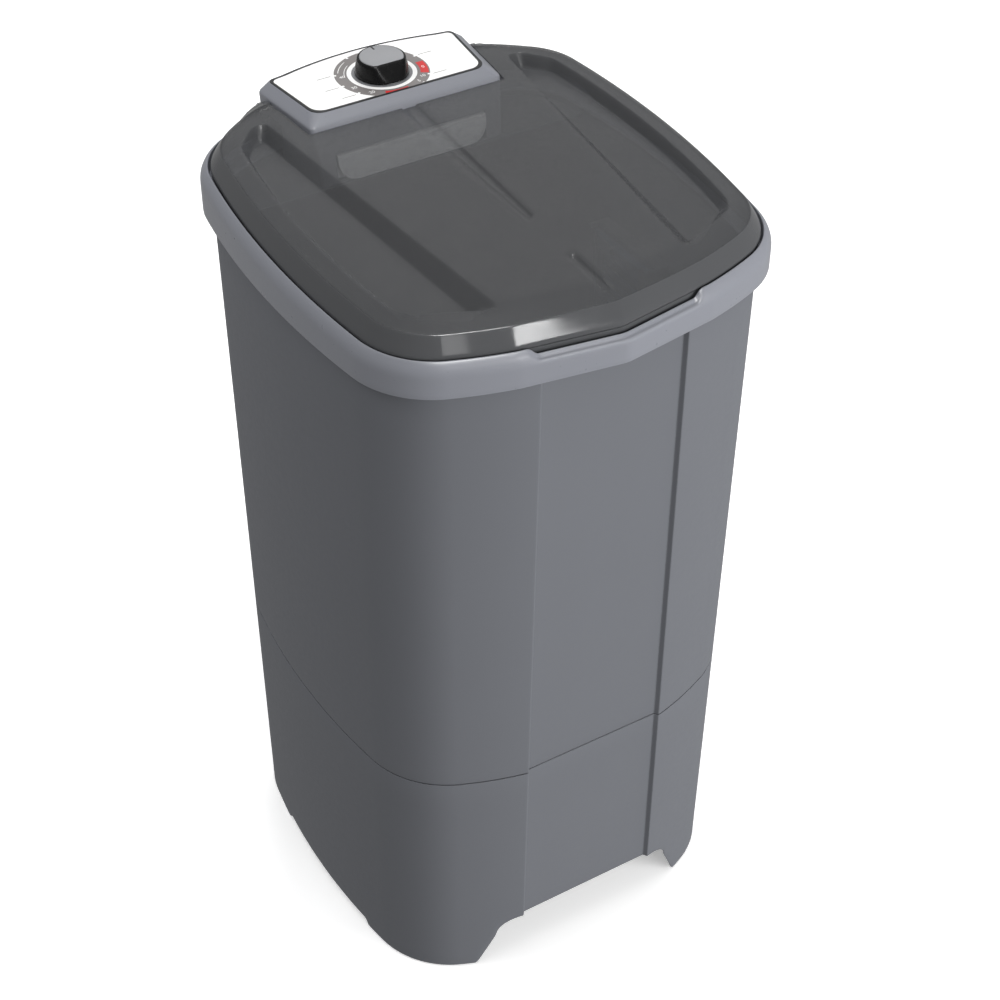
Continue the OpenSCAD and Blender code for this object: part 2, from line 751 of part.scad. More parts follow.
module console_screws() {
    color("silver") at_console_screws() {
        translate([0, 0, -tray_t]) cylinder(r = console_screw_r, h = tray_t + 9);
        translate([0, 0, -tray_t - 2]) cylinder(r = 4, h = 2);
    }
}

module console_label() {
    color("white") difference() {
        translate([0, 0, console_z]) linear_extrude(label_t)
            polygon([for (p = console_top(0, label_step)) [p[0], p[1]]]);
        translate([0, knob_y, console_z - 1]) cylinder(r = timer_neck_r + 0.5, h = 5);
    }
}

// Clockwork timer under the console's top

module at_timer_screws() {
    for (x = [-timer_screw_x, timer_screw_x]) translate([x, knob_y, timer_ear_z + timer_ear_t]) children();
}

module timer_body() {
    color([0.85, 0.85, 0.80]) difference() {
        translate([0, knob_y, 0]) union() {
            translate([0, 0, timer_bottom])
                cylinder(r = timer_r, h = timer_ear_z + timer_ear_t - timer_bottom);
            translate([0, 0, timer_ear_z]) linear_extrude(timer_ear_t) hull() {
                translate([-timer_screw_x, 0]) circle(r = 5);
                translate([timer_screw_x, 0]) circle(r = 5);
            }
            translate([0, 0, timer_ear_z]) cylinder(r = timer_neck_r, h = console_z - timer_ear_z);
        }
        translate([0, knob_y, timer_bottom + 4]) cylinder(r = knob_shaft_r + run, h = 60);
        at_timer_screws() translate([0, 0, -timer_ear_t - 9]) cylinder(r = timer_screw_r + 0.05, h = 20);
    }
}

module timer_screws() {
    color("silver") at_timer_screws() {
        translate([0, 0, -timer_ear_t]) cylinder(r = timer_screw_r, h = timer_ear_t + 6);
        translate([0, 0, -timer_ear_t - 1.5]) cylinder(r = 2.8, h = 1.5);
    }
}

module timer_shaft() {
    color("silver") translate([0, knob_y, timer_bottom + 5])
        cylinder(r = knob_shaft_r, h = knob_top - 5 - timer_bottom - 5);
}

// Knob: round at the base, flattened towards the front at the top
module timer_knob() {
    color([0.05, 0.05, 0.05]) translate([0, knob_y, knob_base]) difference() {
        rotate_extrude() polygon([[0, 0], [knob_r - 0.6, 0], [knob_r, 0.6], [knob_r, 2],
            [knob_top_r + 0.8, knob_h - 1.2], [knob_top_r, knob_h], [0, knob_h]]);
        translate([0, 0, -1]) cylinder(r = knob_shaft_r + 0.02, h = knob_h - 4);
        translate([0, -knob_top_r + knob_flat, knob_h]) rotate([-knob_flat_lean, 0, 0]) translate([-40, -20, -knob_h * 2])
            cube([80, 20, 4 * knob_h]);
        translate([0, 0, knob_h - 1]) linear_extrude(3) knob_cap_plan(0.1);
    }
}

module knob_cap_plan(extra) {
    intersection() {
        circle(r = knob_top_r - 1.8 + extra);
        translate([-40, -knob_top_r + knob_flat + 1.8 - extra]) square([80, 80]);
    }
}

module knob_cap() {
    color([0.65, 0.65, 0.66]) translate([0, knob_y, knob_base + knob_h - 1]) difference() {
        linear_extrude(1.6) knob_cap_plan(0);
        translate([-0.9, knob_top_r - 9, 1]) cube([1.8, 20, 2]);
    }
}

// Dispenser: a sleeve on the tray and a drawer with a clipped front

module dispenser_sleeve() {
    color([0.62, 0.63, 0.65]) difference() {
        translate([-drawer_x - 0.5 - sleeve_t, sleeve_front, sleeve_z])
            cube([2 * (drawer_x + 0.5 + sleeve_t), drawer_d + 2, drawer_h + 2 * sleeve_t + 1]);
        translate([-drawer_x - 0.5, sleeve_front - 1, sleeve_z + sleeve_t])
            cube([2 * (drawer_x + 0.5), drawer_d + 1, drawer_h + 1]);
        for (i = [-2 : 2]) translate([i * 30, sleeve_front + drawer_d - 8, sleeve_z - 1])
            cylinder(r = 4, h = 5);
    }
}

module dispenser_drawer() {
    color([0.70, 0.71, 0.72]) difference() {
        translate([-drawer_x, drawer_y, drawer_z]) cube([2 * drawer_x, drawer_d, drawer_h]);
        translate([-drawer_x + 2, drawer_y + 2, drawer_z + 2])
            cube([2 * drawer_x - 4, drawer_d - 4, drawer_h]);
        for (i = [-2 : 2]) translate([i * 30, drawer_y + drawer_d - 14, drawer_z - 1]) cylinder(r = 3, h = 5);
    }
}

// Front of the drawer: straight top edge, rounded lower corners
module drawer_front() {
    r = 20;
    color([0.66, 0.68, 0.70]) translate([0, drawer_y, drawer_z]) rotate([90, 0, 0])
        linear_extrude(drawer_front_t) polygon(concat([[drawer_x, drawer_h], [-drawer_x, drawer_h]],
            [for (i = [0 : 6]) [-drawer_x + r - r * cos(15 * i), r - r * sin(15 * i)]],
            [for (i = [6 : -1 : 0]) [drawer_x - r + r * cos(15 * i), r - r * sin(15 * i)]]));
}

// Lid: thin shell with a sloped band, two sunk side panels and a cut-out round the console
module lid_form(t) {
    edge = rim_front_z + lid_edge_up;
    skirt = [for (p = rim_ring(lid_in + t)) [p[0], p[1],
        lid_skirt_z - (t > 0 ? 3 : 0) + 14 * smooth((p[1] - 100) / 60)]];
    difference() {
        loft([skirt,
            lid_line(lid_in + t, edge - 3 - t * 0.6),
            lid_line(lid_in + t + 1, edge - t * 0.9),
            lid_line(lid_in + lid_band + t, edge + lid_crest_up - t, 0.3),
            lid_line(lid_in + lid_band + 7 + t, edge + lid_crest_up + 2.5 - t, 0.12),
            lid_line(lid_in + lid_band + 30, edge + lid_crest_up + lid_plateau_up - t, 0)]);
        for (s = [-1, 1]) lid_pocket(s, t);
    }
}

// Places children in the tilted frame of the lid's plateau, whose plane is then z = 0
module on_plateau() {
    translate([0, -rim_d / 2, lid_top]) rotate([atan(rim_tilt), 0, 0])
        translate([0, rim_d / 2, 0]) children();
}

// Outline of a sunk side panel, held inside the lid's own outline
function pocket_plan(inset, slack) =
    [for (p = rim_ring(lid_in + lid_band + 20 + inset, false))
        let (y = max(pocket_front_y + inset, min(pocket_back_y - inset, p[1])),
            k = (y - pocket_front_y) / (pocket_back_y - pocket_front_y))
        [max(p[0], lerp(pocket_front_x, pocket_back_x, k) + inset * 1.1 + slack), y]];

module lid_pocket(s, t) {
    scale([s, 1, 1]) on_plateau() hull() {
        translate([0, 0, -pocket_drop - t]) linear_extrude(0.1) polygon(pocket_plan(9 - t, 3));
        translate([0, 0, 1]) linear_extrude(0.1) polygon(pocket_plan(-t, 0));
    }
}

// Centre grooves: a short one at the front and a long tapering one behind it
module lid_grooves() {
    on_plateau() translate([0, 0, -groove_depth]) linear_extrude(9) {
        translate([0, -220]) circle(r = groove_r);
        translate([-groove_r, -220]) square([2 * groove_r, 58]);
        translate([0, -162]) circle(r = groove_r);
        translate([0, -91]) circle(r = groove_r);
        polygon([[-groove_r, -91], [groove_r, -91], [2 * groove_r, 140], [-2 * groove_r, 140]]);
    }
}

// Opening in the lid for the console, straight beside the hinge
module console_opening() {
    front = console_front_y - 2.3;
    side = console_front_x + 2.5;
    near = hinge_y - 21;
    translate([0, 0, lip_z]) linear_extrude(120) for (s = [-1, 1]) scale([s, 1])
        polygon([[-1, front], [side, front], [hinge_x - 1.1, near], [hinge_x, near + 1],
            [hinge_x, hinge_y + lug_r + 1], [hinge_x + 4, 300], [-1, 300]]);
}

module lid() {
    color([0.30, 0.31, 0.32, 0.75]) difference() {
        union() {
            difference() {
                lid_form(0);
                lid_form(lid_t);
            }
            for (s = [-1, 1]) hinge_lug(s);
        }
        console_opening();
        for (s = [-1, 1]) translate([s * (hinge_x + lug_l / 2), hinge_y, hinge_z])
            x_cylinder(pin_r + pin_run, -lug_l, lug_l);
        lid_grooves();
    }
}

module hinge_lug(s) {
    x0 = s > 0 ? hinge_x : -hinge_x - lug_l;
    translate([0, hinge_y, hinge_z]) {
        x_cylinder(lug_r, x0, x0 + lug_l);
        translate([x0, -5, 0]) cube([lug_l, 10, lug_r + 0.5]);
    }
}

module lid_hinge_pins() {
    color("silver") translate([0, hinge_y, hinge_z]) {
        x_cylinder(pin_r, -hinge_x - lug_l - 0.5, -hinge_x + 12);
        x_cylinder(pin_r, hinge_x - 12, hinge_x + lug_l + 0.5);
    }
}

// Bearing housing under the tub, with its neck through the tub's floor

module bearing_housing() {
    color([0.72, 0.72, 0.72]) difference() {
        union() {
            rotate_extrude() polygon([[0, housing_bottom], [16, housing_bottom], [20, housing_bottom + 20],
                [23, tub_under - 22], [30, tub_under - housing_flange_t],
                [housing_flange_r, tub_under - housing_flange_t],
                [housing_flange_r, tub_under], [neck_r, tub_under], [neck_r, neck_top], [0, neck_top]]);
            for (a = [45 : 90 : 315]) rotate([0, 0, a]) translate([15, -2.5, tub_under - 60])
                rotate([90, 0, 0]) translate([0, 0, -5]) linear_extrude(5)
                    polygon([[0, 0], [5, 0], [34, 54], [0, 54]]);
        }
        translate([0, 0, housing_bottom - 1]) cylinder(r = seat_r + 0.02, h = bush_l + 1);
        translate([0, 0, housing_bottom]) cylinder(r = shaft_r + 1.5, h = 300);
        translate([0, 0, neck_top - 10 - bush_l]) cylinder(r = seat_r + 0.02, h = 60);
        translate([0, 0, neck_top - 9]) cylinder(r = seal_r + 0.02, h = 20);
        at_housing_bolts() cylinder(r = housing_bolt_r + 0.3, h = 400);
    }
}

module at_housing_bolts() {
    for (a = [0 : 90 : 270]) rotate([0, 0, a]) translate([housing_bolt_at, 0, 0]) children();
}

module housing_bolts() {
    color("silver") at_housing_bolts() {
        translate([0, 0, tub_under - housing_flange_t])
            cylinder(r = housing_bolt_r, h = housing_flange_t + 5);
        translate([0, 0, tub_under - housing_flange_t - 4]) cylinder(r = 5, h = 4, $fn = 6);
    }
}

module upper_bush() {
    color([0.72, 0.52, 0.28]) tube(seat_r, shaft_r + run, neck_top - 10 - bush_l, neck_top - 10);
}

module lower_bush() {
    color([0.72, 0.52, 0.28]) tube(seat_r, shaft_r + run, housing_bottom, housing_bottom + bush_l);
}

module shaft_seal() {
    color([0.06, 0.06, 0.06]) tube(seal_r, shaft_r + 0.05, neck_top - 9, neck_top - 1);
}

module agitator_shaft() {
    color([0.75, 0.76, 0.78]) difference() {
        union() {
            translate([0, 0, pulley_bottom - 0.01]) cylinder(r = shaft_r, h = shaft_top - pulley_bottom);
            translate([0, 0, shaft_bottom]) cylinder(r = shaft_r - 1, h = pulley_bottom - shaft_bottom);
        }
        translate([0, 0, shaft_top - 18]) cylinder(r = 3.05, h = 30);
    }
}

module thrust_washer() {
    color("silver") tube(11, shaft_r + 0.02, pulley_hub_top, housing_bottom - face_gap);
}

// Half width of a pulley's groove at a distance above its floor
function groove_at(h) = groove_half + groove_flank * h;

// Wheel with a belt groove, shared by both pulleys
module pulley_wheel(pitch, hub_r, bore, z0, z1, rim_h) {
    top = groove_at(groove_floor + groove_top);
    difference() {
        union() {
            rotate_extrude() polygon([[0, belt_z - rim_h / 2], [pitch + groove_top, belt_z - rim_h / 2],
                [pitch + groove_top, belt_z - top], [pitch - groove_floor, belt_z - groove_half],
                [pitch - groove_floor, belt_z + groove_half], [pitch + groove_top, belt_z + top],
                [pitch + groove_top, belt_z + rim_h / 2], [0, belt_z + rim_h / 2]]);
            translate([0, 0, z0]) cylinder(r = hub_r, h = z1 - z0);
        }
        translate([0, 0, z0 - 1]) cylinder(r = bore, h = z1 - z0 + 2);
    }
}

module driven_pulley() {
    rim_h = belt_w + 5;
    web_t = 4;
    color([0.70, 0.71, 0.72]) difference() {
        pulley_wheel(driven_r, 18, shaft_r + 0.02, pulley_bottom, pulley_hub_top, rim_h);
        for (s = [-1, 1]) translate([0, 0, belt_z + s * (web_t / 2 + rim_h / 2)])
            difference() {
                cylinder(r = driven_r - 10, h = rim_h, center = true);
                cylinder(r = 18, h = rim_h + 1, center = true);
            }
        for (a = [0 : 60 : 300]) rotate([0, 0, a]) translate([driven_r * 0.55, 0, belt_z - 10])
            cylinder(r = 16, h = 20);
    }
}

module pulley_nut() {
    color("silver") translate([0, 0, nut_z]) difference() {
        cylinder(r = 9, h = pulley_bottom - nut_z, $fn = 6);
        translate([0, 0, -1]) cylinder(r = shaft_r - 0.98, h = 20);
    }
}

// Belt path: arcs on both pulleys joined by straight tangents
function belt_path(n1 = 28, n2 = 14) = let (b = asin((driven_r - drive_r) / centre_d))
    concat([for (i = [0 : n1]) let (t = -180 - b + (180 + 2 * b) * i / n1) [0, 0, driven_r, t]],
        [for (i = [0 : n2]) let (t = b + (180 - 2 * b) * i / n2) [0, centre_d, drive_r, t]]);

module drive_belt() {
    w_in = groove_at(groove_floor - belt_in) - belt_side_gap;
    w_out = groove_at(groove_floor + belt_out) - belt_side_gap;
    section = [[-belt_in, -w_in], [belt_out, -w_out], [belt_out, w_out], [-belt_in, w_in]];
    color([0.05, 0.05, 0.05]) ring_solid([for (s = section) [for (p = belt_path())
        [p[0] + (p[2] + s[0]) * cos(p[3]), p[1] + (p[2] + s[0]) * sin(p[3]), belt_z + s[1]]]]);
}

// Agitator: dished disc, curved vanes and a tapered post

module agitator() {
    color([0.36, 0.50, 0.62]) difference() {
        union() {
            rotate_extrude($fn = 72) polygon([[0, disc_z], [agitator_r - 2, disc_z], [agitator_r, disc_z + 3],
                [agitator_r - 2, disc_z + disc_t], [agitator_r * 0.6, disc_z + disc_t + 1],
                [post_r + 18, disc_z + disc_t + 6], [post_r + 4, disc_z + disc_t + 16],
                [post_r, disc_z + 40], [post_top_r, agitator_top], [0, agitator_top]]);
            for (i = [0 : vanes - 1]) rotate([0, 0, 360 * i / vanes]) vane();
        }
        translate([0, 0, disc_z - 1]) cylinder(r = shaft_r + 0.02, h = 200);
        translate([0, 0, hub_top]) cylinder(r = 17, h = 200);
        translate([0, 0, disc_z - 1]) difference() {
            cylinder(r = agitator_r - 6, h = 4);
            cylinder(r = 20, h = 5);
        }
    }
}

module vane() {
    t = 8;
    translate([0, t / 2, disc_z + 2]) rotate([90, 0, 0]) linear_extrude(t)
        polygon(concat([[post_top_r - 6, 0], [agitator_r - 5, 0], [agitator_r - 5, disc_t - 2]],
            [for (i = [0 : 8]) let (k = i / 8) [lerp(agitator_r - 8, post_r - 4, k),
                disc_t + (agitator_h - 42) * (1 - cos(90 * k)) + 6 * k]],
            [[post_top_r - 6, agitator_h - 34]]));
}

module agitator_cap() {
    color([0.30, 0.44, 0.56]) translate([0, 0, agitator_top]) rotate_extrude()
        polygon(concat([[0, -6], [16.8, -6], [16.8, 0], [post_top_r, 0]],
            [for (i = [1 : 6]) [post_top_r * cos(15 * i), 9 * sin(15 * i)]]));
}

module agitator_bolt() {
    color("silver") {
        translate([0, 0, shaft_top - 15]) cylinder(r = 3, h = hub_top - shaft_top + 15.01);
        translate([0, 0, hub_top]) cylinder(r = 10, h = 1.6);
        translate([0, 0, hub_top + 1.59]) cylinder(r = 6, h = 4.5, $fn = 6);
    }
}

// Motor behind the agitator shaft, hung from a bracket under the tub

module at_motor() {
    translate([0, centre_d, 0]) children();
}

module at_rubber_mounts() {
    for (x = [-mount_x, mount_x]) for (y = [mount_near, mount_far]) translate([x, y, 0]) children();
}

module motor_bracket() {
    color([0.35, 0.36, 0.38]) difference() {
        hull() for (x = [-mount_x, mount_x]) for (y = [mount_near, mount_far + 22])
            translate([x, y, bracket_z]) cylinder(r = 12, h = bracket_t);
        at_rubber_mounts() translate([0, 0, bracket_z - 1]) cylinder(r = mount_screw_r + 0.3, h = 10);
        at_motor() translate([0, 0, bracket_z - 1]) cylinder(r = 16, h = 10);
        at_through_bolts() translate([0, 0, bracket_z - 1]) cylinder(r = 2.3, h = 10);
    }
}

module rubber_mounts() {
    color([0.07, 0.07, 0.07]) at_rubber_mounts()
        tube(11, mount_screw_r + 0.1, bracket_z + bracket_t, tub_under - mount_boss);
}

module bracket_screws() {
    color("silver") at_rubber_mounts() {
        translate([0, 0, bracket_z]) cylinder(r = mount_screw_r, h = bracket_t + mount_t + mount_boss - 1);
        translate([0, 0, bracket_z - 4]) cylinder(r = 6, h = 4);
    }
}

module at_through_bolts() {
    at_motor() for (a = [45 : 90 : 315]) rotate([0, 0, a]) translate([bolt_at, 0, 0]) children();
}

module motor_stator() {
    half = motor_r - 2;
    color([0.50, 0.50, 0.52]) at_motor() translate([0, 0, stator_z]) difference() {
        intersection() {
            translate([-half, -half, 0]) cube([2 * half, 2 * half, stator_h]);
            cylinder(r = motor_r + 8, h = stator_h);
        }
        translate([0, 0, -1]) cylinder(r = rotor_r + 0.4, h = stator_h + 2);
        for (a = [0 : 30 : 330]) rotate([0, 0, a]) translate([rotor_r + 7, 0, -1])
            cylinder(r = 3.6, h = stator_h + 2);
        for (a = [45 : 90 : 315]) rotate([0, 0, a]) translate([bolt_at, 0, -1])
            cylinder(r = through_r + 0.1, h = stator_h + 2);
    }
}

module motor_windings() {
    color([0.70, 0.36, 0.18]) at_motor() {
        for (z = [stator_z - winding_h, stator_z + stator_h])
            tube(rotor_r + 11, rotor_r + 3, z, z + winding_h);
        for (a = [0 : 30 : 330]) rotate([0, 0, a]) translate([rotor_r + 7, 0, stator_z - 1])
            cylinder(r = 3.4, h = stator_h + 2);
    }
}

// End shield: cup over the windings with a bearing seat, drawn mouth down
module end_shield() {
    difference() {
        cylinder(r = motor_r, h = shield_h);
        difference() {
            translate([0, 0, -1]) cylinder(r = rotor_r + 12, h = shield_h - shield_t + 1);
            translate([0, 0, shield_h - shield_t - bearing_h]) cylinder(r = bearing_r + 4, h = bearing_h + 1);
        }
        cylinder(r = rotor_shaft_r + 2, h = shield_h + 1);
        translate([0, 0, -1]) cylinder(r = bearing_r + 0.02, h = shield_h - shield_t + 1);
        for (a = [45 : 90 : 315]) rotate([0, 0, a]) translate([bolt_at, 0, -1])
            cylinder(r = through_r + 0.1, h = shield_h + 2);
        for (a = [0 : 90 : 270]) rotate([0, 0, a]) translate([rotor_r, 0, -1])
            cylinder(r = 6, h = shield_h + 2);
    }
}

module upper_shield() {
    color([0.70, 0.70, 0.71]) at_motor()
        translate([0, 0, motor_top - shield_h]) end_shield();
}

module lower_shield() {
    color([0.70, 0.70, 0.71]) at_motor()
        translate([0, 0, stator_z]) mirror([0, 0, 1]) end_shield();
}

module motor_bearings() {
    color("silver") at_motor() {
        tube(bearing_r, rotor_shaft_r + run, upper_bearing_z, upper_bearing_z + bearing_h);
        tube(bearing_r, rotor_shaft_r + run, lower_bearing_z, lower_bearing_z + bearing_h);
    }
}

module through_bolts() {
    color("silver") at_through_bolts() {
        translate([0, 0, lower_shield_bottom])
            cylinder(r = through_r, h = bracket_z + bracket_t - lower_shield_bottom);
        translate([0, 0, lower_shield_bottom - 4]) cylinder(r = 4, h = 4, $fn = 6);
        translate([0, 0, bracket_z + bracket_t]) cylinder(r = 4, h = 4, $fn = 6);
    }
}

module motor_rotor() {
    color([0.62, 0.62, 0.64]) at_motor() {
        translate([0, 0, stator_z + 1]) cylinder(r = rotor_r, h = stator_h - 2);
        translate([0, 0, belt_z - 12])
            cylinder(r = rotor_shaft_r, h = upper_bearing_z + bearing_h - belt_z + 12);
    }
}

module motor_fan() {
    color([0.15, 0.15, 0.15]) at_motor() translate([0, 0, fan_z]) difference() {
        union() {
            cylinder(r = 9, h = fan_h);
            cylinder(r = fan_r, h = 1.5);
            for (a = [0 : 45 : 315]) rotate([0, 0, a]) translate([8, -0.8, 0]) cube([fan_r - 8, 1.6, fan_h]);
        }
        translate([0, 0, -1]) cylinder(r = rotor_shaft_r + 0.02, h = fan_h + 2);
    }
}

module motor_pulley() {
    color([0.55, 0.55, 0.57]) at_motor()
        pulley_wheel(drive_r, 9, rotor_shaft_r + 0.02, belt_z - 11, fan_z, belt_w + 6);
}

// Capacitor in a clip on the skirt's right wall

module clip_boss() {
    translate([cap_x + cap_r + 4, cap_y - 9, cap_z + cap_h / 2 - 9])
        cube([body_x(cap_y + 9, cap_z) - wall / 2 - cap_x - cap_r - 4, 18, 18]);
}

module capacitor() {
    color([0.82, 0.82, 0.84]) translate([cap_x, cap_y, cap_z]) {
        cylinder(r = cap_r, h = cap_h);
        translate([0, 0, cap_h]) cylinder(r = cap_r - 3, h = 3);
        for (x = [-5, 5]) translate([x - 0.4, -3, cap_h + 3]) cube([0.8, 6, 8]);
    }
}

module capacitor_clip() {
    color([0.40, 0.41, 0.42]) translate([cap_x, cap_y, cap_z + cap_h / 2 - 8]) difference() {
        union() {
            cylinder(r = cap_r + 2, h = 16);
            translate([cap_r, -9, 0]) cube([4, 18, 16]);
        }
        translate([0, 0, -1]) cylinder(r = cap_r + 0.02, h = 18);
        translate([-cap_r - 5, -6, -1]) cube([8, 12, 18]);
    }
}

// Lint filter in its frame on the tub's right wall

module filter_frame() {
    color([0.78, 0.79, 0.80]) difference() {
        intersection() {
            translate([filter_back - filter_t, filter_y - filter_w / 2, filter_z])
                cube([filter_t + 20, filter_w, filter_h]);
            tub_shape(tub_wall + face_gap);
        }
        translate([filter_back - filter_t + 2.5, filter_y - filter_w / 2 + 4, filter_z + 6])
            cube([filter_t - 6, filter_w - 8, filter_h]);
        translate([filter_back - filter_t - 1, filter_y - filter_w / 2 + 14, filter_z + 16])
            cube([8, filter_w - 28, filter_h]);
    }
}

module lint_filter() {
    x0 = filter_back - filter_t + 2.5 + face_gap;
    w = filter_w - 8 - 2 * face_gap;
    color([0.35, 0.50, 0.62]) translate([x0, filter_y - w / 2, filter_z + 6 + face_gap]) difference() {
        cube([filter_t - 6 - 2 * face_gap, w, filter_h - 12]);
        translate([-1, 14, 12]) cube([filter_t - 8, w - 28, filter_h - 40]);
        for (i = [0 : 9]) translate([-1, 16, 14 + i * 11]) cube([filter_t, w - 32, 5]);
        translate([-1, w / 2 - 15, filter_h - 22]) cube([5, 30, 6]);
    }
}

// Drain: grate in the tub's floor, elbow, held hose and outlet spigot in the back wall

module drain_place() {
    translate([drain_x, drain_y, 0]) children();
}

module drain_grate() {
    color([0.25, 0.26, 0.28]) drain_place() translate([0, 0, tub_under]) difference() {
        union() {
            cylinder(r = grate_r, h = tub_wall);
            translate([0, 0, tub_wall]) cylinder(r = grate_r + 4, h = 1.2);
        }
        for (a = [0 : 60 : 300]) rotate([0, 0, a]) translate([8.5, 0, -1]) cylinder(r = 3.2, h = 10);
        translate([0, 0, -1]) cylinder(r = 3, h = 10);
    }
}

module drain_elbow() {
    color([0.15, 0.15, 0.16]) difference() {
        union() {
            drain_place() translate([0, 0, elbow_z]) cylinder(r = grate_r + 1, h = tub_under - elbow_z);
            drain_place() translate([0, 0, tub_under - 4]) cylinder(r = grate_r + 8, h = 4);
            drain_place() translate([0, 0, elbow_z]) sphere(r = grate_r + 1);
            translate([0, drain_y, elbow_z]) x_cylinder(spigot_r, elbow_end, drain_x);
        }
        drain_place() translate([0, 0, elbow_z]) cylinder(r = grate_r - 3, h = 60);
        translate([0, drain_y, elbow_z]) x_cylinder(hose_bore - 2.5, elbow_end - 1, drain_x);
    }
}

// Route of the held drain hose, from the elbow down to the outlet
hose_route = [[-112, -64, 305], [-152, -64, 305], [-164, -61, 301], [-173, -50, 288], [-177, -30, 264],
    [-178, -6, 234], [-178, 20, 200], [-176, 48, 170], [-171, 80, 146], [-163, 112, 128],
    [-152, 142, 117], [-139, 168, 112], [-130, 182, 112], [-128, 189, 112], [-128, 206, 112]];

function unit(v) = v / norm(v);
// Ring of points round a route's point, square to the route
function sweep_ring(route, i, r, n) = let (
    a = route[max(0, i - 1)], b = route[min(len(route) - 1, i + 1)], t = unit(b - a),
    u = unit(cross([0.13, 0.29, 1], t)), v = cross(t, u))
    [for (k = [0 : n - 1]) route[i] + r * (cos(360 * k / n) * u + sin(360 * k / n) * v)];

// Hollow hose swept along a route
module hose(route, r_out, r_in, n = 12) {
    m = len(route);
    pts = [for (i = [0 : m - 1]) each concat(sweep_ring(route, i, r_out, n), sweep_ring(route, i, r_in, n))];
    polyhedron(pts, concat(
        [for (i = [0 : m - 2]) for (k = [0 : n - 1])
            let (a = 2 * n * i + k, b = 2 * n * i + (k + 1) % n, c = b + 2 * n, d = a + 2 * n)
            each [[a, c, b], [a, d, c], [a + n, b + n, c + n], [a + n, c + n, d + n]]],
        [for (k = [0 : n - 1]) let (a = k, b = (k + 1) % n) each [[a, b, b + n], [a, b + n, a + n]]],
        [for (k = [0 : n - 1]) let (e = 2 * n * (m - 1), a = e + k, b = e + (k + 1) % n)
            each [[a, b + n, b], [a, a + n, b + n]]]));
}

module drain_hose() {
    color([0.12, 0.12, 0.13]) hose(hose_route, hose_r, hose_bore);
}

module outlet_place() {
    translate([outlet_x, body_y(abs(outlet_x), outlet_z), outlet_z]) rotate([-90, 0, 0]) children();
}

module drain_outlet() {
    color([0.15, 0.15, 0.16]) outlet_place() difference() {
        union() {
            translate([0, 0, -28]) cylinder(r = spigot_r, h = 20);
            translate([0, 0, -10]) cylinder(r = outlet_r, h = outlet_l + 10);
            translate([0, 0, outlet_boss + face_gap]) cylinder(r = outlet_r + 5, h = 2);
        }
        translate([0, 0, -40]) cylinder(r = hose_bore - 2.5, h = 80);
    }
}

module hose_clamps() {
    color("silver") {
        translate([0, drain_y, elbow_z]) difference() {
            x_cylinder(hose_r + 1.6, -130, -121);
            x_cylinder(hose_r + 0.1, -131, -120);
        }
        outlet_place() tube(hose_r + 1.6, hose_r + 0.1, -22, -13);
    }
}

// Wiring from the timer down behind the tub to the motor
function harness_at(z) = body_y(harness_x, z, wall) - tub_gap / 2;
harness_route = [[13.4, knob_y + 15.2, 858], [22, 217, 858], [34, 223, 860], [48, 227, 860],
    [56.5, 229.2, 857], [harness_x, harness_y, 850], [harness_x, harness_y, 836],
    for (z = [790, 700, 600, 500, 420, 360]) [harness_x, harness_at(z), z],
    [57, harness_at(336) - 3, 336], [55, 212, 320], [50, 194, 309], [44, 176, 303], [41, 165, 301]];

module harness_place() {
    translate([harness_x, harness_y, 0]) children();
}

module wiring_harness() {
    n = 8;
    m = len(harness_route);
    color([0.06, 0.06, 0.07]) polyhedron(
        [for (i = [0 : m - 1]) each sweep_ring(harness_route, i, harness_r, n)],
        concat([for (i = [0 : m - 2]) for (k = [0 : n - 1])
            let (a = n * i + k, b = n * i + (k + 1) % n, c = b + n, d = a + n) each [[a, c, b], [a, d, c]]],
            [[for (k = [0 : n - 1]) k]], [[for (k = [n - 1 : -1 : 0]) n * (m - 1) + k]]));
}

module harness_clips() {
    color([0.85, 0.85, 0.85]) for (z = [400, 560, 720]) translate([harness_x, harness_at(z), z]) difference() {
        translate([-6, -5, 0]) cube([12, body_y(harness_x + 6, z, wall) - harness_at(z) + 5 - clip_seat, 10]);
        translate([0, 0, -1]) cylinder(r = harness_r + 0.3, h = 12);
    }
}

module gland_place() {
    translate([gland_x, body_y(gland_x, gland_z), gland_z]) rotate([0, 0, -20])
        rotate([-90, 0, 0]) children();
}

module cord_gland() {
    color([0.05, 0.05, 0.05]) gland_place() difference() {
        union() {
            translate([0, 0, -7]) cylinder(r = gland_r - 0.1, h = 10);
            translate([0, 0, 0.5]) cylinder(r = gland_r + 3, h = 2.5);
            translate([0, 0, -7.5]) cylinder(r = gland_r + 2.5, h = 2.5);
        }
        translate([0, 0, -20]) cylinder(r = 4, h = 40);
    }
}

cabinet();
base_skirt();
top_rim();
console_tray();
wash_tub();
console_housing();
console_label();
console_screws();
timer_body();
timer_screws();
dispenser_sleeve();
lid_hinge_pins();
bearing_housing();
upper_bush();
lower_bush();
shaft_seal();
housing_bolts();
drive_belt();
motor_bracket();
rubber_mounts();
bracket_screws();
motor_stator();
motor_windings();
upper_shield();
lower_shield();
motor_bearings();
through_bolts();
capacitor();
capacitor_clip();
filter_frame();
drain_grate();
drain_elbow();
drain_hose();
drain_outlet();
hose_clamps();
wiring_harness();
harness_clips();
cord_gland();
foot_pads();
bottom_guard();
guard_screws();
seam_screws();
lid();
timer_knob();
knob_cap();
timer_shaft();
agitator();
agitator_cap();
agitator_bolt();
agitator_shaft();
thrust_washer();
driven_pulley();
pulley_nut();
motor_rotor();
motor_fan();
motor_pulley();
dispenser_drawer();
drawer_front();
lint_filter();
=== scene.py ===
import math

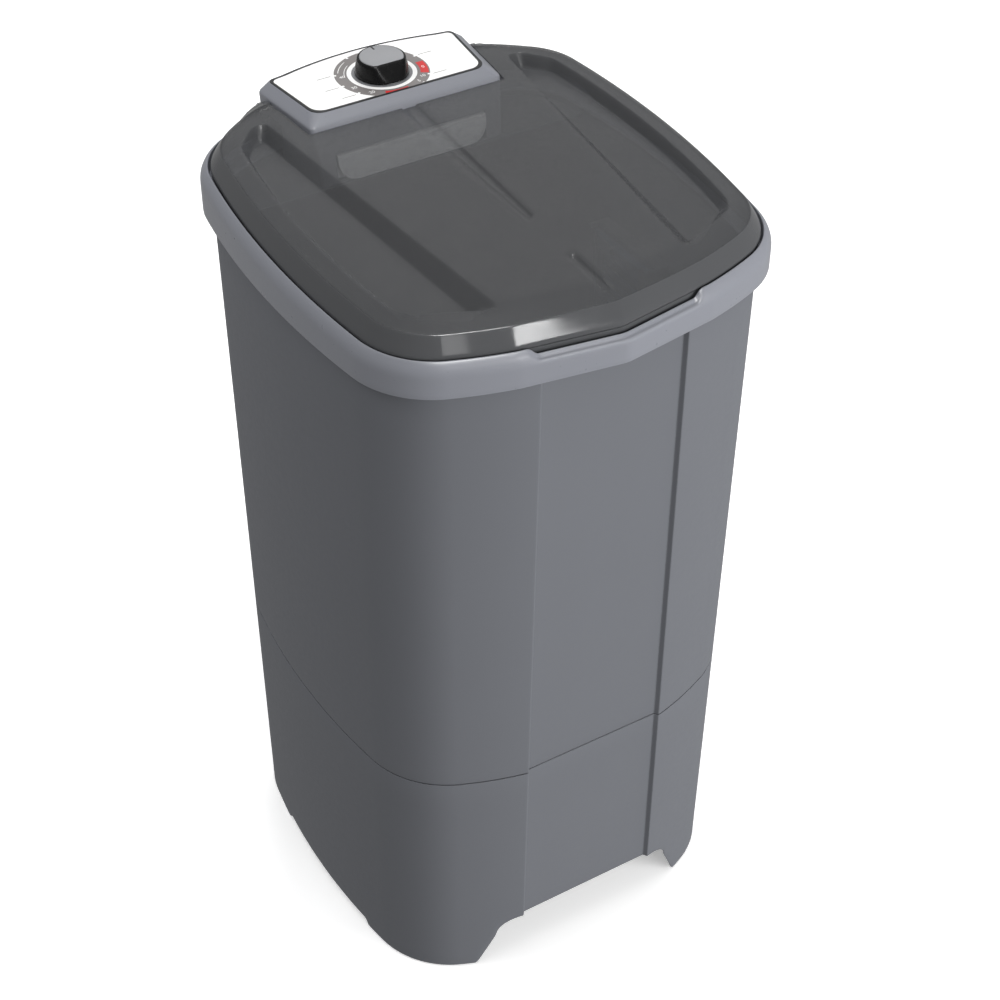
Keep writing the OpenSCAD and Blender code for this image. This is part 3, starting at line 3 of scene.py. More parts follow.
import bmesh
import bpy
import numpy as np
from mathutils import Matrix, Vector
from mathutils.geometry import delaunay_2d_cdt


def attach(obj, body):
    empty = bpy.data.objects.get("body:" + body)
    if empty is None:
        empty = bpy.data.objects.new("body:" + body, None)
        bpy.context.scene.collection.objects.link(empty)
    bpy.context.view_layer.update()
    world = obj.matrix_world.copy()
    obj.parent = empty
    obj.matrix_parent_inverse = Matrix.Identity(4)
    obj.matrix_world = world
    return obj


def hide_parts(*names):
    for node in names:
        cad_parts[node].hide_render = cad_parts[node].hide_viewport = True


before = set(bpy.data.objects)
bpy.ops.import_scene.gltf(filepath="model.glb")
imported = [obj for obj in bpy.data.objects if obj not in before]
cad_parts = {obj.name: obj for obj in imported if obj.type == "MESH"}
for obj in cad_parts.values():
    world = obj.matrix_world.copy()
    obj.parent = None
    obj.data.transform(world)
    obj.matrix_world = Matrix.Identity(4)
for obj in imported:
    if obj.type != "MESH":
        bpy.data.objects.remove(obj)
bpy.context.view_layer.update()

# Lengths below are in millimetres, as in the part's source, and become metres in the meshes.
MM = 0.001

# Body
LIP_Z, SEAM_Z, SEAM_GAP, CABINET_TOP = 800, 299, 0.8, 812
FLOOR_W, TOP_W, FLOOR_D, TOP_D = 436, 447, 477, 486
BODY_R, SIDE_BOW, FRONT_BOW, WALL = 100, 14, 28, 3
PANEL_TOP_X, PANEL_FLOOR_X, PANEL_STEP, PANEL_SLOPE = 78, 82, 4.5, 2.7
ARCH_Z, ARCH_FLOOR_X, ARCH_TOP_X, ARCH_LEAN, ARCH_SHOULDER, PAD_H = 69, 132, 82, 0.46, 23, 2
SIDE_ARCH_Z, SIDE_ARCH_FRONT, SIDE_ARCH_BACK = 10, 106, 84
FRONT_ARCH_FROM_Y, SIDE_ARCH_FROM_X = 150, 170

# Rim
RIM_W, RIM_D, RIM_R = 458.6, 497.6, 90
RIM_EDGE_Z, RIM_TILT, RIM_SHOULDER = 822, 14 / RIM_D, 8
MOUTH_IN, LEDGE_Z, LEDGE_TOP, PROW, PROW_X = 26, 815.3, 818.5, 4, 100
RECESS_X, RECESS_DROP, RECESS_RAMP = 86, 7, 10

# Lid
LID_IN, LID_T, LID_EDGE_Z, LID_RISE = 10.6, 2.5, 836, 20
LID_SKIRT_Z, SKIRT_REAR_LIFT = 818.8, 14
EAR_LIFT, POCKET_DROP = 16, 12.5
GROOVE_R, GROOVE_DEPTH, FRONT_GROOVE, BACK_GROOVE = 4.2, 1.5, (-212.5, -160.5), (-85, 139)
CREST = 11.2  # how far in from the edge the steep band ends and the flat middle starts
HINGE = (116, 218, 858)

# Console
CONSOLE_Z, CONSOLE_REAR_Z, CONSOLE_LOW_Z = 878, 848.6, 809.3
CONSOLE_FRONT_X, CONSOLE_BACK_X, CONSOLE_FRONT_Y, CONSOLE_BACK_Y = 107, 116, 139, 237.2
KNOB_Y, KNOB_Z, KNOB_R, KNOB_TOP_R, KNOB_H = 191.5, 879.2, 27.3, 23.8, 17.2
PRINT_Z = CONSOLE_Z + 0.6
DRAWER_HALF, DRAWER_TOP, DRAWER_LOW, DRAWER_R, DRAWER_LEAN = 83.5, 838.6, 811.0, 20, 5.0


def blend_between(a, b, k):
    return a + (b - a) * k


def ease(k):
    k = np.clip(k, 0, 1)
    return k * k * (3 - 2 * k)


# ---- camera and light
scene = bpy.context.scene
scene.view_settings.view_transform = "Standard"


def aim(thing, place, target):
    thing.location = place
    thing.rotation_mode = "QUATERNION"
    thing.rotation_quaternion = (Vector(target) - Vector(place)).to_track_quat("-Z", "Y")


lens = bpy.data.cameras.new("camera")
camera = bpy.data.objects.new("camera", lens)
scene.collection.objects.link(camera)
CAMERA_PLACE, CAMERA_TARGET = (-0.8487, -1.4248, 1.8454), (0, 0, 0.4615)
aim(camera, CAMERA_PLACE, CAMERA_TARGET)
lens.sensor_width, lens.lens = 36, 73.2
lens.shift_x, lens.shift_y = 0.0194, 0.0011
lens.clip_start, lens.clip_end = 0.05, 60
scene.camera = camera


def soft_box(name, place, target, width, height, power):
    light = bpy.data.lights.new(name, "AREA")
    light.shape, light.size, light.size_y, light.energy = "RECTANGLE", width, height, power
    thing = bpy.data.objects.new(name, light)
    scene.collection.objects.link(thing)
    aim(thing, place, target)
    return thing


def around(degrees, distance, height):
    """Place at a bearing from +X round the machine."""
    a = math.radians(degrees)
    return distance * math.cos(a), distance * math.sin(a), height


BODY_MIDDLE, BODY_UPPER, LID_FRONT = (0, 0, 0.5), (0, 0, 0.8), (-0.1, -0.22, 0.845)
soft_box("top_light", (0, 0, 4.2), BODY_MIDDLE, 3.0, 3.0, 50)

# Lights that shape the body and stay out of its reflections.
for name, place, target, width, height, power in [
        ("key_light", around(-55, 3.1, 0.9), BODY_MIDDLE, 1.2, 2.0, 73),
        ("front_light", around(-80, 3.1, 0.9), BODY_MIDDLE, 1.2, 2.0, 42),
        ("rear_light_right", around(60, 2.6, 3.0), BODY_UPPER, 1.6, 1.6, 34),
        ("rear_light_left", around(150, 2.6, 3.0), BODY_UPPER, 1.6, 1.6, 32)]:
    soft_box(name, place, target, width, height, power).visible_glossy = False

# Gleams that only show as reflections: the window on the lid's front band, and sheen on rim and lid.
for name, place, width, height, power in [
        ("window_gleam", (0.30, -2.11, 1.91), 0.2, 0.62, 9),
        ("window_gleam_left", (-0.54, -2.035, 2.005), 0.36, 0.6, 2.6),
        ("overhead_gleam", (-0.19, -1.5, 3.38), 1.2, 0.9, 90),
        ("rear_sheen", (2.0, 3.2, 3.2), 3.4, 2.4, 12)]:
    soft_box(name, place, LID_FRONT, width, height, power).visible_diffuse = False

world = bpy.data.worlds.new("studio")
world.use_nodes = True
WORLD_STRENGTH = 0.38
sky = world.node_tree.nodes["Background"]
sky.inputs["Color"].default_value = (1, 1, 1, 1)
sky.inputs["Strength"].default_value = WORLD_STRENGTH
scene.world = world


# ---- shader node groups
def new_group(name, inputs, outputs):
    group = bpy.data.node_groups.new(name, "ShaderNodeTree")
    for label, kind, value in inputs:
        socket = group.interface.new_socket(label, in_out="INPUT", socket_type="NodeSocket" + kind)
        socket.default_value = value
    for label, kind in outputs:
        group.interface.new_socket(label, in_out="OUTPUT", socket_type="NodeSocket" + kind)
    start, end = group.nodes.new("NodeGroupInput"), group.nodes.new("NodeGroupOutput")
    return group, start, end


class Wiring:
    """Adds nodes to a tree and joins them up."""

    def __init__(self, tree):
        self.tree = tree

    def put(self, socket, value):
        if isinstance(value, bpy.types.NodeSocket):
            self.tree.links.new(value, socket)
        else:
            socket.default_value = value

    def node(self, kind, inputs=None, **settings):
        made = self.tree.nodes.new("ShaderNode" + kind)
        for key, value in settings.items():
            setattr(made, key, value)
        for key, value in (inputs or {}).items():
            self.put(made.inputs[key], value)
        return made

    def sum(self, operation, *values):
        made = self.tree.nodes.new("ShaderNodeMath")
        made.operation = operation
        for i, value in enumerate(values):
            self.put(made.inputs[i], value)
        return made.outputs[0]

    def noise(self, place, scale, detail=3.0, roughness=0.55):
        made = self.node("TexNoise", {"Vector": place, "Scale": scale, "Detail": detail,
                                      "Roughness": roughness})
        return made.outputs["Fac"]

    def span(self, value, low, high, to_low, to_high):
        made = self.node("MapRange", {"Value": value, "From Min": low, "From Max": high,
                                      "To Min": to_low, "To Max": to_high})
        return made.outputs["Result"]

    def mix(self, factor, a, b, how="MIX"):
        made = self.node("Mix", data_type="RGBA", blend_type=how)
        self.put(made.inputs["Factor"], factor)
        self.put(made.inputs[6], a)
        self.put(made.inputs[7], b)
        return made.outputs[2]


def moulded_skin():
    """Moulded plastic: cloudy shade, uneven gloss and a fine spark-eroded grain."""
    group, start, end = new_group("moulded_skin", [
        ("Colour", "Color", (0.2, 0.2, 0.2, 1)), ("Clouding", "Float", 0.06),
        ("Gloss Roughness", "Float", 0.4), ("Grain Scale", "Float", 1400.0)],
        [("Colour", "Color"), ("Roughness", "Float"), ("Height", "Float")])
    w = Wiring(group)
    place = w.node("TexCoord").outputs["Object"]
    cloud = w.noise(place, 9.0, 4.0)
    upright = w.node("Mapping", {"Vector": place, "Scale": (30.0, 30.0, 3.0)}).outputs["Vector"]
    streak = w.noise(upright, 1.0, 3.0)
    both = w.sum("ADD", w.sum("MULTIPLY", cloud, 0.65), w.sum("MULTIPLY", streak, 0.35))
    shade = w.sum("ADD", 1.0, w.sum("MULTIPLY", w.sum("SUBTRACT", both, 0.5), start.outputs["Clouding"]))
    grey = w.node("CombineColor", {"Red": shade, "Green": shade, "Blue": shade}).outputs["Color"]
    w.put(end.inputs["Colour"], w.mix(1.0, start.outputs["Colour"], grey, "MULTIPLY"))
    speck = w.noise(place, 160.0, 2.0)
    w.put(end.inputs["Roughness"], w.sum("ADD", start.outputs["Gloss Roughness"],
                                         w.sum("MULTIPLY", w.sum("SUBTRACT", speck, 0.5), 0.12)))
    size = start.outputs["Grain Scale"]
    grain = w.node("TexVoronoi", {"Vector": place, "Scale": size}).outputs["Distance"]
    fine = w.noise(place, size, 2.0)
    w.put(end.inputs["Height"], w.sum("ADD", grain, fine))
    return group


def handled_edges():
    """Edges rubbed lighter by use, and a little dust lying on what faces up."""
    group, start, end = new_group("handled_edges", [
        ("Colour", "Color", (0.2, 0.2, 0.2, 1)), ("Edge Colour", "Color", (0.4, 0.4, 0.4, 1)),
        ("Edge Amount", "Float", 0.35), ("Dust Amount", "Float", 0.04)],
        [("Colour", "Color"), ("Edges", "Float"), ("Dust", "Float")])
    w = Wiring(group)
    place = w.node("TexCoord").outputs["Object"]
    surface = w.node("NewGeometry")
    edge = w.span(surface.outputs["Pointiness"], 0.52, 0.6, 0.0, 1.0)
    broken = w.span(w.noise(place, 45.0, 5.0, 0.7), 0.4, 0.65, 0.15, 1.0)
    worn = w.sum("MULTIPLY", w.sum("MULTIPLY", edge, broken), start.outputs["Edge Amount"])
    up = w.node("SeparateXYZ", {"Vector": surface.outputs["Normal"]}).outputs["Z"]
    patchy = w.span(w.noise(place, 30.0, 6.0), 0.42, 0.7, 0.0, 1.0)
    lying = w.sum("MULTIPLY", w.span(up, 0.5, 1.0, 0.0, 1.0), patchy)
    dust = w.sum("MULTIPLY", lying, start.outputs["Dust Amount"])
    colour = w.mix(worn, start.outputs["Colour"], start.outputs["Edge Colour"])
    w.put(end.inputs["Colour"], w.mix(dust, colour, (0.55, 0.53, 0.5, 1)))
    w.put(end.inputs["Edges"], worn)
    w.put(end.inputs["Dust"], dust)
    return group


def metal_skin():
    """Metal: brushed or cast, with stains and an uneven shine."""
    group, start, end = new_group("metal_skin", [
        ("Colour", "Color", (0.6, 0.6, 0.6, 1)), ("Stain Colour", "Color", (0.3, 0.28, 0.25, 1)),
        ("Shine Roughness", "Float", 0.3), ("Grain Scale", "Float", 300.0), ("Stretch", "Float", 1.0)],
        [("Colour", "Color"), ("Roughness", "Float"), ("Height", "Float")])
    w = Wiring(group)
    place = w.node("TexCoord").outputs["Object"]
    across = start.outputs["Grain Scale"]
    along = w.node("CombineXYZ", {"X": across, "Y": across,
                                  "Z": w.sum("MULTIPLY", across, start.outputs["Stretch"])})
    run = w.node("Mapping", {"Vector": place, "Scale": along.outputs["Vector"]}).outputs["Vector"]
    grain = w.noise(run, 1.0, 4.0, 0.6)
    stain = w.span(w.noise(place, 40.0, 5.0, 0.65), 0.5, 0.8, 0.0, 0.45)
    w.put(end.inputs["Colour"], w.mix(stain, start.outputs["Colour"], start.outputs["Stain Colour"]))
    uneven = w.sum("ADD", w.sum("SUBTRACT", grain, 0.5), stain)
    w.put(end.inputs["Roughness"], w.sum("ADD", start.outputs["Shine Roughness"],
                                         w.sum("MULTIPLY", uneven, 0.3)))
    w.put(end.inputs["Height"], grain)
    return group


MOULDED, EDGES, METAL = moulded_skin(), handled_edges(), metal_skin()


def srgb(*values):
    """Linear colour from 0 to 255 screen values."""
    return (*[v / 255 / 12.92 if v <= 10 else ((v / 255 + 0.055) / 1.055) ** 2.4 for v in values], 1)


def paler(colour, gain, lift):
    return (*[min(1, c * gain + lift) for c in colour[:3]], 1)


def start_material(name):
    material = bpy.data.materials.new(name)
    material.use_nodes = True
    tree = material.node_tree
    tree.nodes.clear()
    w = Wiring(tree)
    shader = w.node("BsdfPrincipled")
    tree.links.new(shader.outputs["BSDF"], w.node("OutputMaterial").inputs["Surface"])
    return material, w, shader


def plastic(name, colour, roughness=0.4, clouding=0.06, grain=1400.0, bump=0.05, edge=None,
            edge_amount=0.3, dust=0.03, alpha=None, specular=0.5, lets_light=False):
    material, w, shader = start_material(name)
    skin = w.node("Group", {"Colour": colour, "Clouding": clouding, "Gloss Roughness": roughness,
                            "Grain Scale": grain}, node_tree=MOULDED)
    worn = w.node("Group", {"Colour": skin.outputs["Colour"],
                            "Edge Colour": edge or paler(colour, 1.6, 0.03),
                            "Edge Amount": edge_amount, "Dust Amount": dust}, node_tree=EDGES)
    w.put(shader.inputs["Base Color"], worn.outputs["Colour"])
    w.put(shader.inputs["Roughness"], w.sum("ADD", skin.outputs["Roughness"], worn.outputs["Dust"]))
    relief = w.node("Bump", {"Strength": bump, "Distance": 0.0002, "Height": skin.outputs["Height"]})
    w.put(shader.inputs["Normal"], relief.outputs["Normal"])
    shader.inputs["Specular IOR Level"].default_value = specular
    if alpha is not None:
        veil = w.sum("ADD", alpha, w.sum("MULTIPLY", worn.outputs["Dust"], 0.6))
        if lets_light:
            shadow = w.node("LightPath").outputs["Is Shadow Ray"]
            veil = w.sum("MULTIPLY", veil, w.sum("SUBTRACT", 1.0, shadow))
        w.put(shader.inputs["Alpha"], veil)
    return material


def metal(name, colour, stain, roughness, grain=300.0, stretch=1.0, bump=0.08):
    material, w, shader = start_material(name)
    skin = w.node("Group", {"Colour": colour, "Stain Colour": stain, "Shine Roughness": roughness,
                            "Grain Scale": grain, "Stretch": stretch}, node_tree=METAL)
    worn = w.node("Group", {"Colour": skin.outputs["Colour"], "Edge Colour": paler(colour, 1.3, 0.05),
                            "Edge Amount": 0.5, "Dust Amount": 0.06}, node_tree=EDGES)
    w.put(shader.inputs["Base Color"], worn.outputs["Colour"])
    w.put(shader.inputs["Roughness"], skin.outputs["Roughness"])
    shader.inputs["Metallic"].default_value = 1.0
    relief = w.node("Bump", {"Strength": bump, "Distance": 0.0003, "Height": skin.outputs["Height"]})
    w.put(shader.inputs["Normal"], relief.outputs["Normal"])
    return material


BODY_GREY, TRIM_GREY = srgb(102, 104, 109), srgb(126, 128, 135)
FINISHES = {
    "body_grey": plastic("body_grey_moulding", BODY_GREY, 0.5, 0.05, 1500.0, 0.04, specular=0.18,
                         dust=0.01, edge_amount=0.08),
    "trim_grey": plastic("trim_grey_moulding", TRIM_GREY, 0.3, 0.04, 1500.0, 0.03, specular=0.4,
                         dust=0.01),
    "smoke_plastic": plastic("smoke_lid_plastic", srgb(76, 77, 79), 0.26, 0.03, 900.0, 0.0005,
                             alpha=0.6, edge_amount=0.1, dust=0.01, specular=0.3, lets_light=True),
    "label_white": plastic("label_white_film", srgb(250, 250, 249), 0.35, 0.02, 2500.0, 0.02,
                           dust=0.01, edge_amount=0.1),
    "tub_grey": plastic("tub_grey_moulding", srgb(70, 72, 75), 0.4, 0.06, 1200.0, 0.04),
    "drawer_grey": plastic("drawer_grey_moulding", srgb(228, 230, 232), 0.35, 0.04, 1200.0, 0.03,
                           specular=0.25),
    "black_plastic": plastic("black_moulding", srgb(9, 9, 10), 0.26, 0.1, 1300.0, 0.04, dust=0.0,
                             specular=0.2, edge_amount=0.15),
    "cap_grey": plastic("cap_grey_plate", srgb(147, 148, 151), 0.34, 0.04, 1800.0, 0.03,
                        specular=0.2, edge_amount=0.1),
    "cream_plastic": plastic("cream_moulding", srgb(214, 208, 186), 0.5, 0.08, 900.0, 0.06),
    "blue_plastic": plastic("filter_blue_moulding", srgb(64, 78, 94), 0.35, 0.06, 1200.0, 0.05),
    "rubber_black": plastic("rubber_black", srgb(26, 26, 26), 0.75, 0.12, 700.0, 0.15,
                            specular=0.3, dust=0.1),
    "zinc": metal("zinc_plated_steel", srgb(200, 200, 198), srgb(150, 145, 130), 0.32, 500.0),
    "painted_steel": plastic("painted_bracket_steel", srgb(88, 90, 94), 0.45, 0.1, 600.0, 0.08,
                             edge=srgb(190, 188, 184), edge_amount=0.6, dust=0.1),
    "cast_aluminium": metal("cast_aluminium", srgb(188, 189, 190), srgb(120, 118, 112), 0.48,
                            260.0, bump=0.2),
    "bronze": metal("sintered_bronze", srgb(186, 146, 84), srgb(96, 72, 40), 0.42, 700.0,
                    bump=0.12),
    "copper": metal("enamelled_copper", srgb(176, 96, 50), srgb(96, 44, 20), 0.28, 500.0, 0.1),
}
SMOKE_EDGE = plastic("smoke_lid_edge", srgb(78, 79, 81), 0.1, 0.03, 900.0, 0.002, alpha=0.9,
                     edge_amount=0.12, dust=0.01, specular=0.35)
LINE_BLACK = plastic("print_black", srgb(16, 17, 20), 0.35, 0.04, 2000.0, 0.02, dust=0.0,
                     edge_amount=0.0)
# Dial print colours; the third is a grey ring painted round the knob's foot as the knob's shadow.
DIAL_GREY, DIAL_RED, KNOB_SHADOW_GREY = [
    plastic(name, colour, roughness, 0.05, 2000.0, 0.02, dust=0.0, edge_amount=0.0)
    for name, colour, roughness in [("print_grey", srgb(122, 118, 117), 0.36),
                                    ("print_red", srgb(205, 28, 30), 0.34),
                                    ("painted_knob_shadow", srgb(120, 121, 124), 0.36)]]


def floor_paint():
    """Pale studio floor that glows a little, so the shade beside the machine stays soft."""
    material, w, shader = start_material("floor_paint")
    shade = w.span(w.noise(w.node("TexCoord").outputs["Object"], 3.0), 0.3, 0.7, 0.985, 1.0)
    w.put(shader.inputs["Base Color"],
          w.node("CombineColor", {"Red": shade, "Green": shade, "Blue": shade}).outputs["Color"])
    shader.inputs["Emission Color"].default_value = (1, 1, 1, 1)
    shader.inputs["Emission Strength"].default_value = 0.35
    shader.inputs["Roughness"].default_value = 0.9
    shader.inputs["Specular IOR Level"].default_value = 0.05
    return material


FLOOR_WHITE = floor_paint()


# ---- mesh building
SAME_POINT = 1e-6


def make(name, points, faces, finish, body, slot, stands_for=(), crease=34, fitted=()):
    """Piece from points in millimetres, riding on a body and standing in for CAD nodes where it has any."""
    mesh = bpy.data.meshes.new(name)
    mesh.from_pydata([(p[0] * MM, p[1] * MM, p[2] * MM) for p in points], [], faces)
    mesh.validate()
    clean = bmesh.new()
    clean.from_mesh(mesh)
    bmesh.ops.remove_doubles(clean, verts=clean.verts, dist=SAME_POINT)
    bmesh.ops.recalc_face_normals(clean, faces=clean.faces)
    clean.to_mesh(mesh)
    clean.free()
    mesh.shade_smooth()
    mesh.set_sharp_from_angle(angle=math.radians(crease))
    for material in [finish, *fitted]:
        mesh.materials.append(material)
    thing = bpy.data.objects.new(name, mesh)
    scene.collection.objects.link(thing)
    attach(thing, body)
    if stands_for:
        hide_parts(*stands_for)
    return thing


def loft(rings, closed_section=False, caps=(False, False)):
    """Skin over closed rings of equal length; a closed section joins the last ring to the first."""
    count = len(rings[0])
    faces = []
    for j in range(len(rings) if closed_section else len(rings) - 1):
        a, b = j * count, (j + 1) % len(rings) * count
        faces += [(a + i, a + (i + 1) % count, b + (i + 1) % count, b + i) for i in range(count)]
    if caps[0]:
        faces.append(tuple(range(count))[::-1])
    if caps[1]:
        faces.append(tuple((len(rings) - 1) * count + i for i in range(count)))
    return [tuple(p) for ring in rings for p in ring], faces


def bow_radius(half, bow):
    return (half * half + bow * bow) / (2 * bow)


def quarter(w, d, r, side=10, corner=26, bow=14):
    """Quarter outline from the middle of +X to the middle of +Y, and how many points end at the corner."""
    a, b = w / 2 - r, d / 2 - r
    rx, ry = bow_radius(b, SIDE_BOW), bow_radius(a, FRONT_BOW)
    cx, cy = a, b
    for _ in range(12):
        cx, cy = a - rx + math.sqrt(rx * rx - cy * cy), b - ry + math.sqrt(ry * ry - cx * cx)
    ta, tb = math.asin(cy / rx), math.asin(cx / ry)
    points = [(a - rx + (rx + r) * math.cos(ta * i / side), (rx + r) * math.sin(ta * i / side))
              for i in range(side)]
    turns = [ta + (math.pi / 2 - tb - ta) * (i / corner) for i in range(corner + 1)]
    points += [(cx + r * math.cos(t), cy + r * math.sin(t)) for t in turns]
    ends = len(points)
    points += [((ry + r) * math.sin(tb * (1 - i / bow)), b - ry + (ry + r) * math.cos(tb * (1 - i / bow)))
               for i in range(1, bow + 1)]
    return points, ends


def bow_y(w, d, r, x):
    """How far out the bowed front or back stands at a distance from the middle."""
    ry = bow_radius(w / 2 - r, FRONT_BOW)
    return d / 2 - ry - r + math.sqrt((ry + r) ** 2 - x * x)


def whole(back, front):
    """Whole outline from a back and a front quarter that both end on the middle line."""
    return (back + [(-x, y) for x, y in back[-2::-1]] + [(-x, -y) for x, y in front[1:]]
            + [(x, -y) for x, y in front[-2:0:-1]])


def body_size(z, inset):
    k = z / LIP_Z
    return (blend_between(FLOOR_W, TOP_W, k) - 2 * inset, blend_between(FLOOR_D, TOP_D, k) - 2 * inset,
            BODY_R - inset)


# Rounding at the top and the foot of the step down to the sunk panel: distance across and depth.
STEP_ROUND = [(-1.5, 0.0), (-0.8, 0.04), (-0.3, 0.2), (0.1, 0.55), (0.5, 1.1)]
FOOT_ROUND = [(-0.5, 1.1), (-0.1, 0.55), (0.3, 0.2), (0.8, 0.04), (1.5, 0.0)]


def panel_half(z):
    return blend_between(PANEL_FLOOR_X, PANEL_TOP_X, z / LIP_Z)


def body_ring(z, inset=0.0, fine=1):
    """Outline of the body at a height: bowed back and sides, and the sunk flat panel at the front."""
    w, d, r = body_size(z, inset)
    back = quarter(w, d, r, 10 * fine, bow=14 * fine)[0]
    front, ends = quarter(w, d, r, 10 * fine)
    front = front[:ends]
    x0, xo = front[-1][0], panel_half(z) + inset
    edge = bow_y(w, d, r, xo)
    front += [(x, bow_y(w, d, r, x)) for x in np.linspace(x0, xo + 5.0, 7 * fine)[1:]]
    for across, down in STEP_ROUND:
        front.append((xo - across, (bow_y(w, d, r, xo - across) if across < 0 else edge) - down))
    flat = edge - PANEL_STEP
    for across, up in FOOT_ROUND:
        front.append((xo - PANEL_SLOPE - across, flat + up))
    front += [(x, flat) for x in (xo * 0.66, xo * 0.33, 0.0)]
    return whole(back, front)


def lifted(ring, z):
    return [(x, y, z) for x, y in ring]


def cabinet_shell():
    edge = SEAM_Z + SEAM_GAP
    rings = [lifted(body_ring(z, t), z) for z, t in
             [(edge, WALL), (edge, 0.8), (edge + 0.1, 0.4), (edge + 0.35, 0.1), (edge + 0.8, 0.0)]]
    rings += [lifted(body_ring(z), z) for z in np.linspace(edge + 12, CABINET_TOP - 1, 9)]
    rings += [lifted(body_ring(CABINET_TOP, inset), CABINET_TOP) for inset in (0.6, WALL)]
    make("cabinet_shell", *loft(rings, closed_section=True), FINISHES["body_grey"], "machine",
         "body_grey", ["cabinet"])


def leg(x, floor, top, height, lean, shoulder):
    """Height of an arch's edge: a straight leg that rounds into the top over the shoulder."""
    z_leg = height - shoulder
    x_leg = floor - lean * (z_leg - PAD_H)
    if x >= floor:
        return PAD_H
    if x > x_leg:
        return PAD_H + (floor - x) / lean
    if x <= top:
        return height
    k = 1 - (x_leg - x) / (x_leg - top)
    return z_leg + shoulder * math.sqrt(max(0, 1 - k * k))


def skirt_edge(x, y):
    """Height of the skirt's lower edge: arches at front, back and sides between the four feet."""
    ax = abs(x)
    if ax < ARCH_FLOOR_X and abs(y) > FRONT_ARCH_FROM_Y:
        return leg(ax, ARCH_FLOOR_X, ARCH_TOP_X, ARCH_Z, ARCH_LEAN, ARCH_SHOULDER)
    if ax > SIDE_ARCH_FROM_X:
        middle, half = (SIDE_ARCH_BACK - SIDE_ARCH_FRONT) / 2, (SIDE_ARCH_BACK + SIDE_ARCH_FRONT) / 2
        return leg(abs(y - middle), half, half - 8, SIDE_ARCH_Z, 0.6, 4)
    return PAD_H


def skirt_shell():
    low, high = body_ring(0, 0, fine=4), body_ring(SEAM_Z, 0, fine=4)
    low_in, high_in = body_ring(0, WALL, fine=4), body_ring(SEAM_Z, WALL, fine=4)
    edge = [skirt_edge(*p) for p in low]

    def level(i, z, inset):
        k = z / SEAM_Z
        outer = [blend_between(low[i][c], high[i][c], k) for c in (0, 1)]
        inner = [blend_between(low_in[i][c], high_in[i][c], k) for c in (0, 1)]
        return (*[blend_between(outer[c], inner[c], inset / WALL) for c in (0, 1)], z)

    count = range(len(low))
    round_low = [(0, WALL), (0, 1.6), (0.2, 0.7), (0.7, 0.15), (1.6, 0)]
    round_high = [(-0.7, 0), (-0.25, 0.12), (0, 0.45), (0, WALL)]
    top = SEAM_Z - SEAM_GAP
    rings = [[level(i, edge[i] + up, inset) for i in count] for up, inset in round_low]
    for k in (0.06, 0.15, 0.3, 0.5, 0.7, 0.88):
        rings.append([level(i, blend_between(edge[i] + 1.6, top - 1.0, k), 0) for i in count])
    rings += [[level(i, top + up, inset) for i in count] for up, inset in round_high]
    make("skirt_shell", *loft(rings, closed_section=True), FINISHES["body_grey"], "machine",
         "body_grey", ["base_skirt"])


def block(centre, size, bevel):
    """Points and faces of a small box with softened edges."""
    tool = bmesh.new()
    bmesh.ops.create_cube(tool, size=1.0)
    bmesh.ops.scale(tool, vec=size, verts=tool.verts)
    bmesh.ops.bevel(tool, geom=tool.edges[:], offset=bevel, segments=2, profile=0.6, affect="EDGES")
    points = [tuple(v.co + Vector(centre)) for v in tool.verts]
    faces = [tuple(v.index for v in f.verts) for f in tool.faces]
    tool.free()
    return points, faces


def together(*parts):
    points, faces = [], []
    for more_points, more_faces in parts:
        faces += [tuple(i + len(points) for i in f) for f in more_faces]
        points += list(more_points)
    return points, faces


# Rim
PROW_STEPS = (99, 96.5, 94, 91.5, 89, 86.5, 84, 81.5, 79, 75, 68, 60, 50, 40, 30, 20, 10, 4, 1.5, 0)
PROW_TIP = {0: 0.44, 1.5: 0.2}  # how much the point is rounded off near the middle line


def rim_outline(inset, prow=True):
    """Outline of the rim, inset all round; its front is two straight lines to a point, or plain."""
    w, d, r = RIM_W - 2 * inset, RIM_D - 2 * inset, RIM_R - inset
    back = quarter(w, d, r, 12, 28, 16)[0]
    shoulder = bow_y(w, d, r, PROW_X)
    front = [p for p in back if p[0] > PROW_X + 6]
    front += [(x, bow_y(w, d, r, x)) for x in (PROW_X + 4, PROW_X + 1.5)]
    for x in PROW_STEPS:
        straight = blend_between(d / 2 + PROW, shoulder, x / PROW_X) - PROW_TIP.get(x, 0.0)
        front.append((x, straight if prow else bow_y(w, d, r, x)))
    return whole(back, front)


def tilted(z, y):
    return z + RIM_TILT * (y + RIM_D / 2)


def recess(x, y):
    """Depth of the finger recess in the rim's front."""
    return 0.0 if y > 0 else RECESS_DROP * float(ease((RECESS_X + RECESS_RAMP / 2 - abs(x)) / RECESS_RAMP))


# Rim's outer wall and rounded shoulder: inset and height over its edge line.
SHOULDER = [(0, -3.4), (0.1, -1.2), (0.4, 0.9), (0.9, 2.8), (1.6, 4.5), (2.5, 6.2), (3.6, 7.9), (5.0, 9.6),
            (6.3, 11.0), (7.0, 11.6), (7.5, 11.95), (8.0, 12), (8.4, 11.7), (8.6, 11.0)]


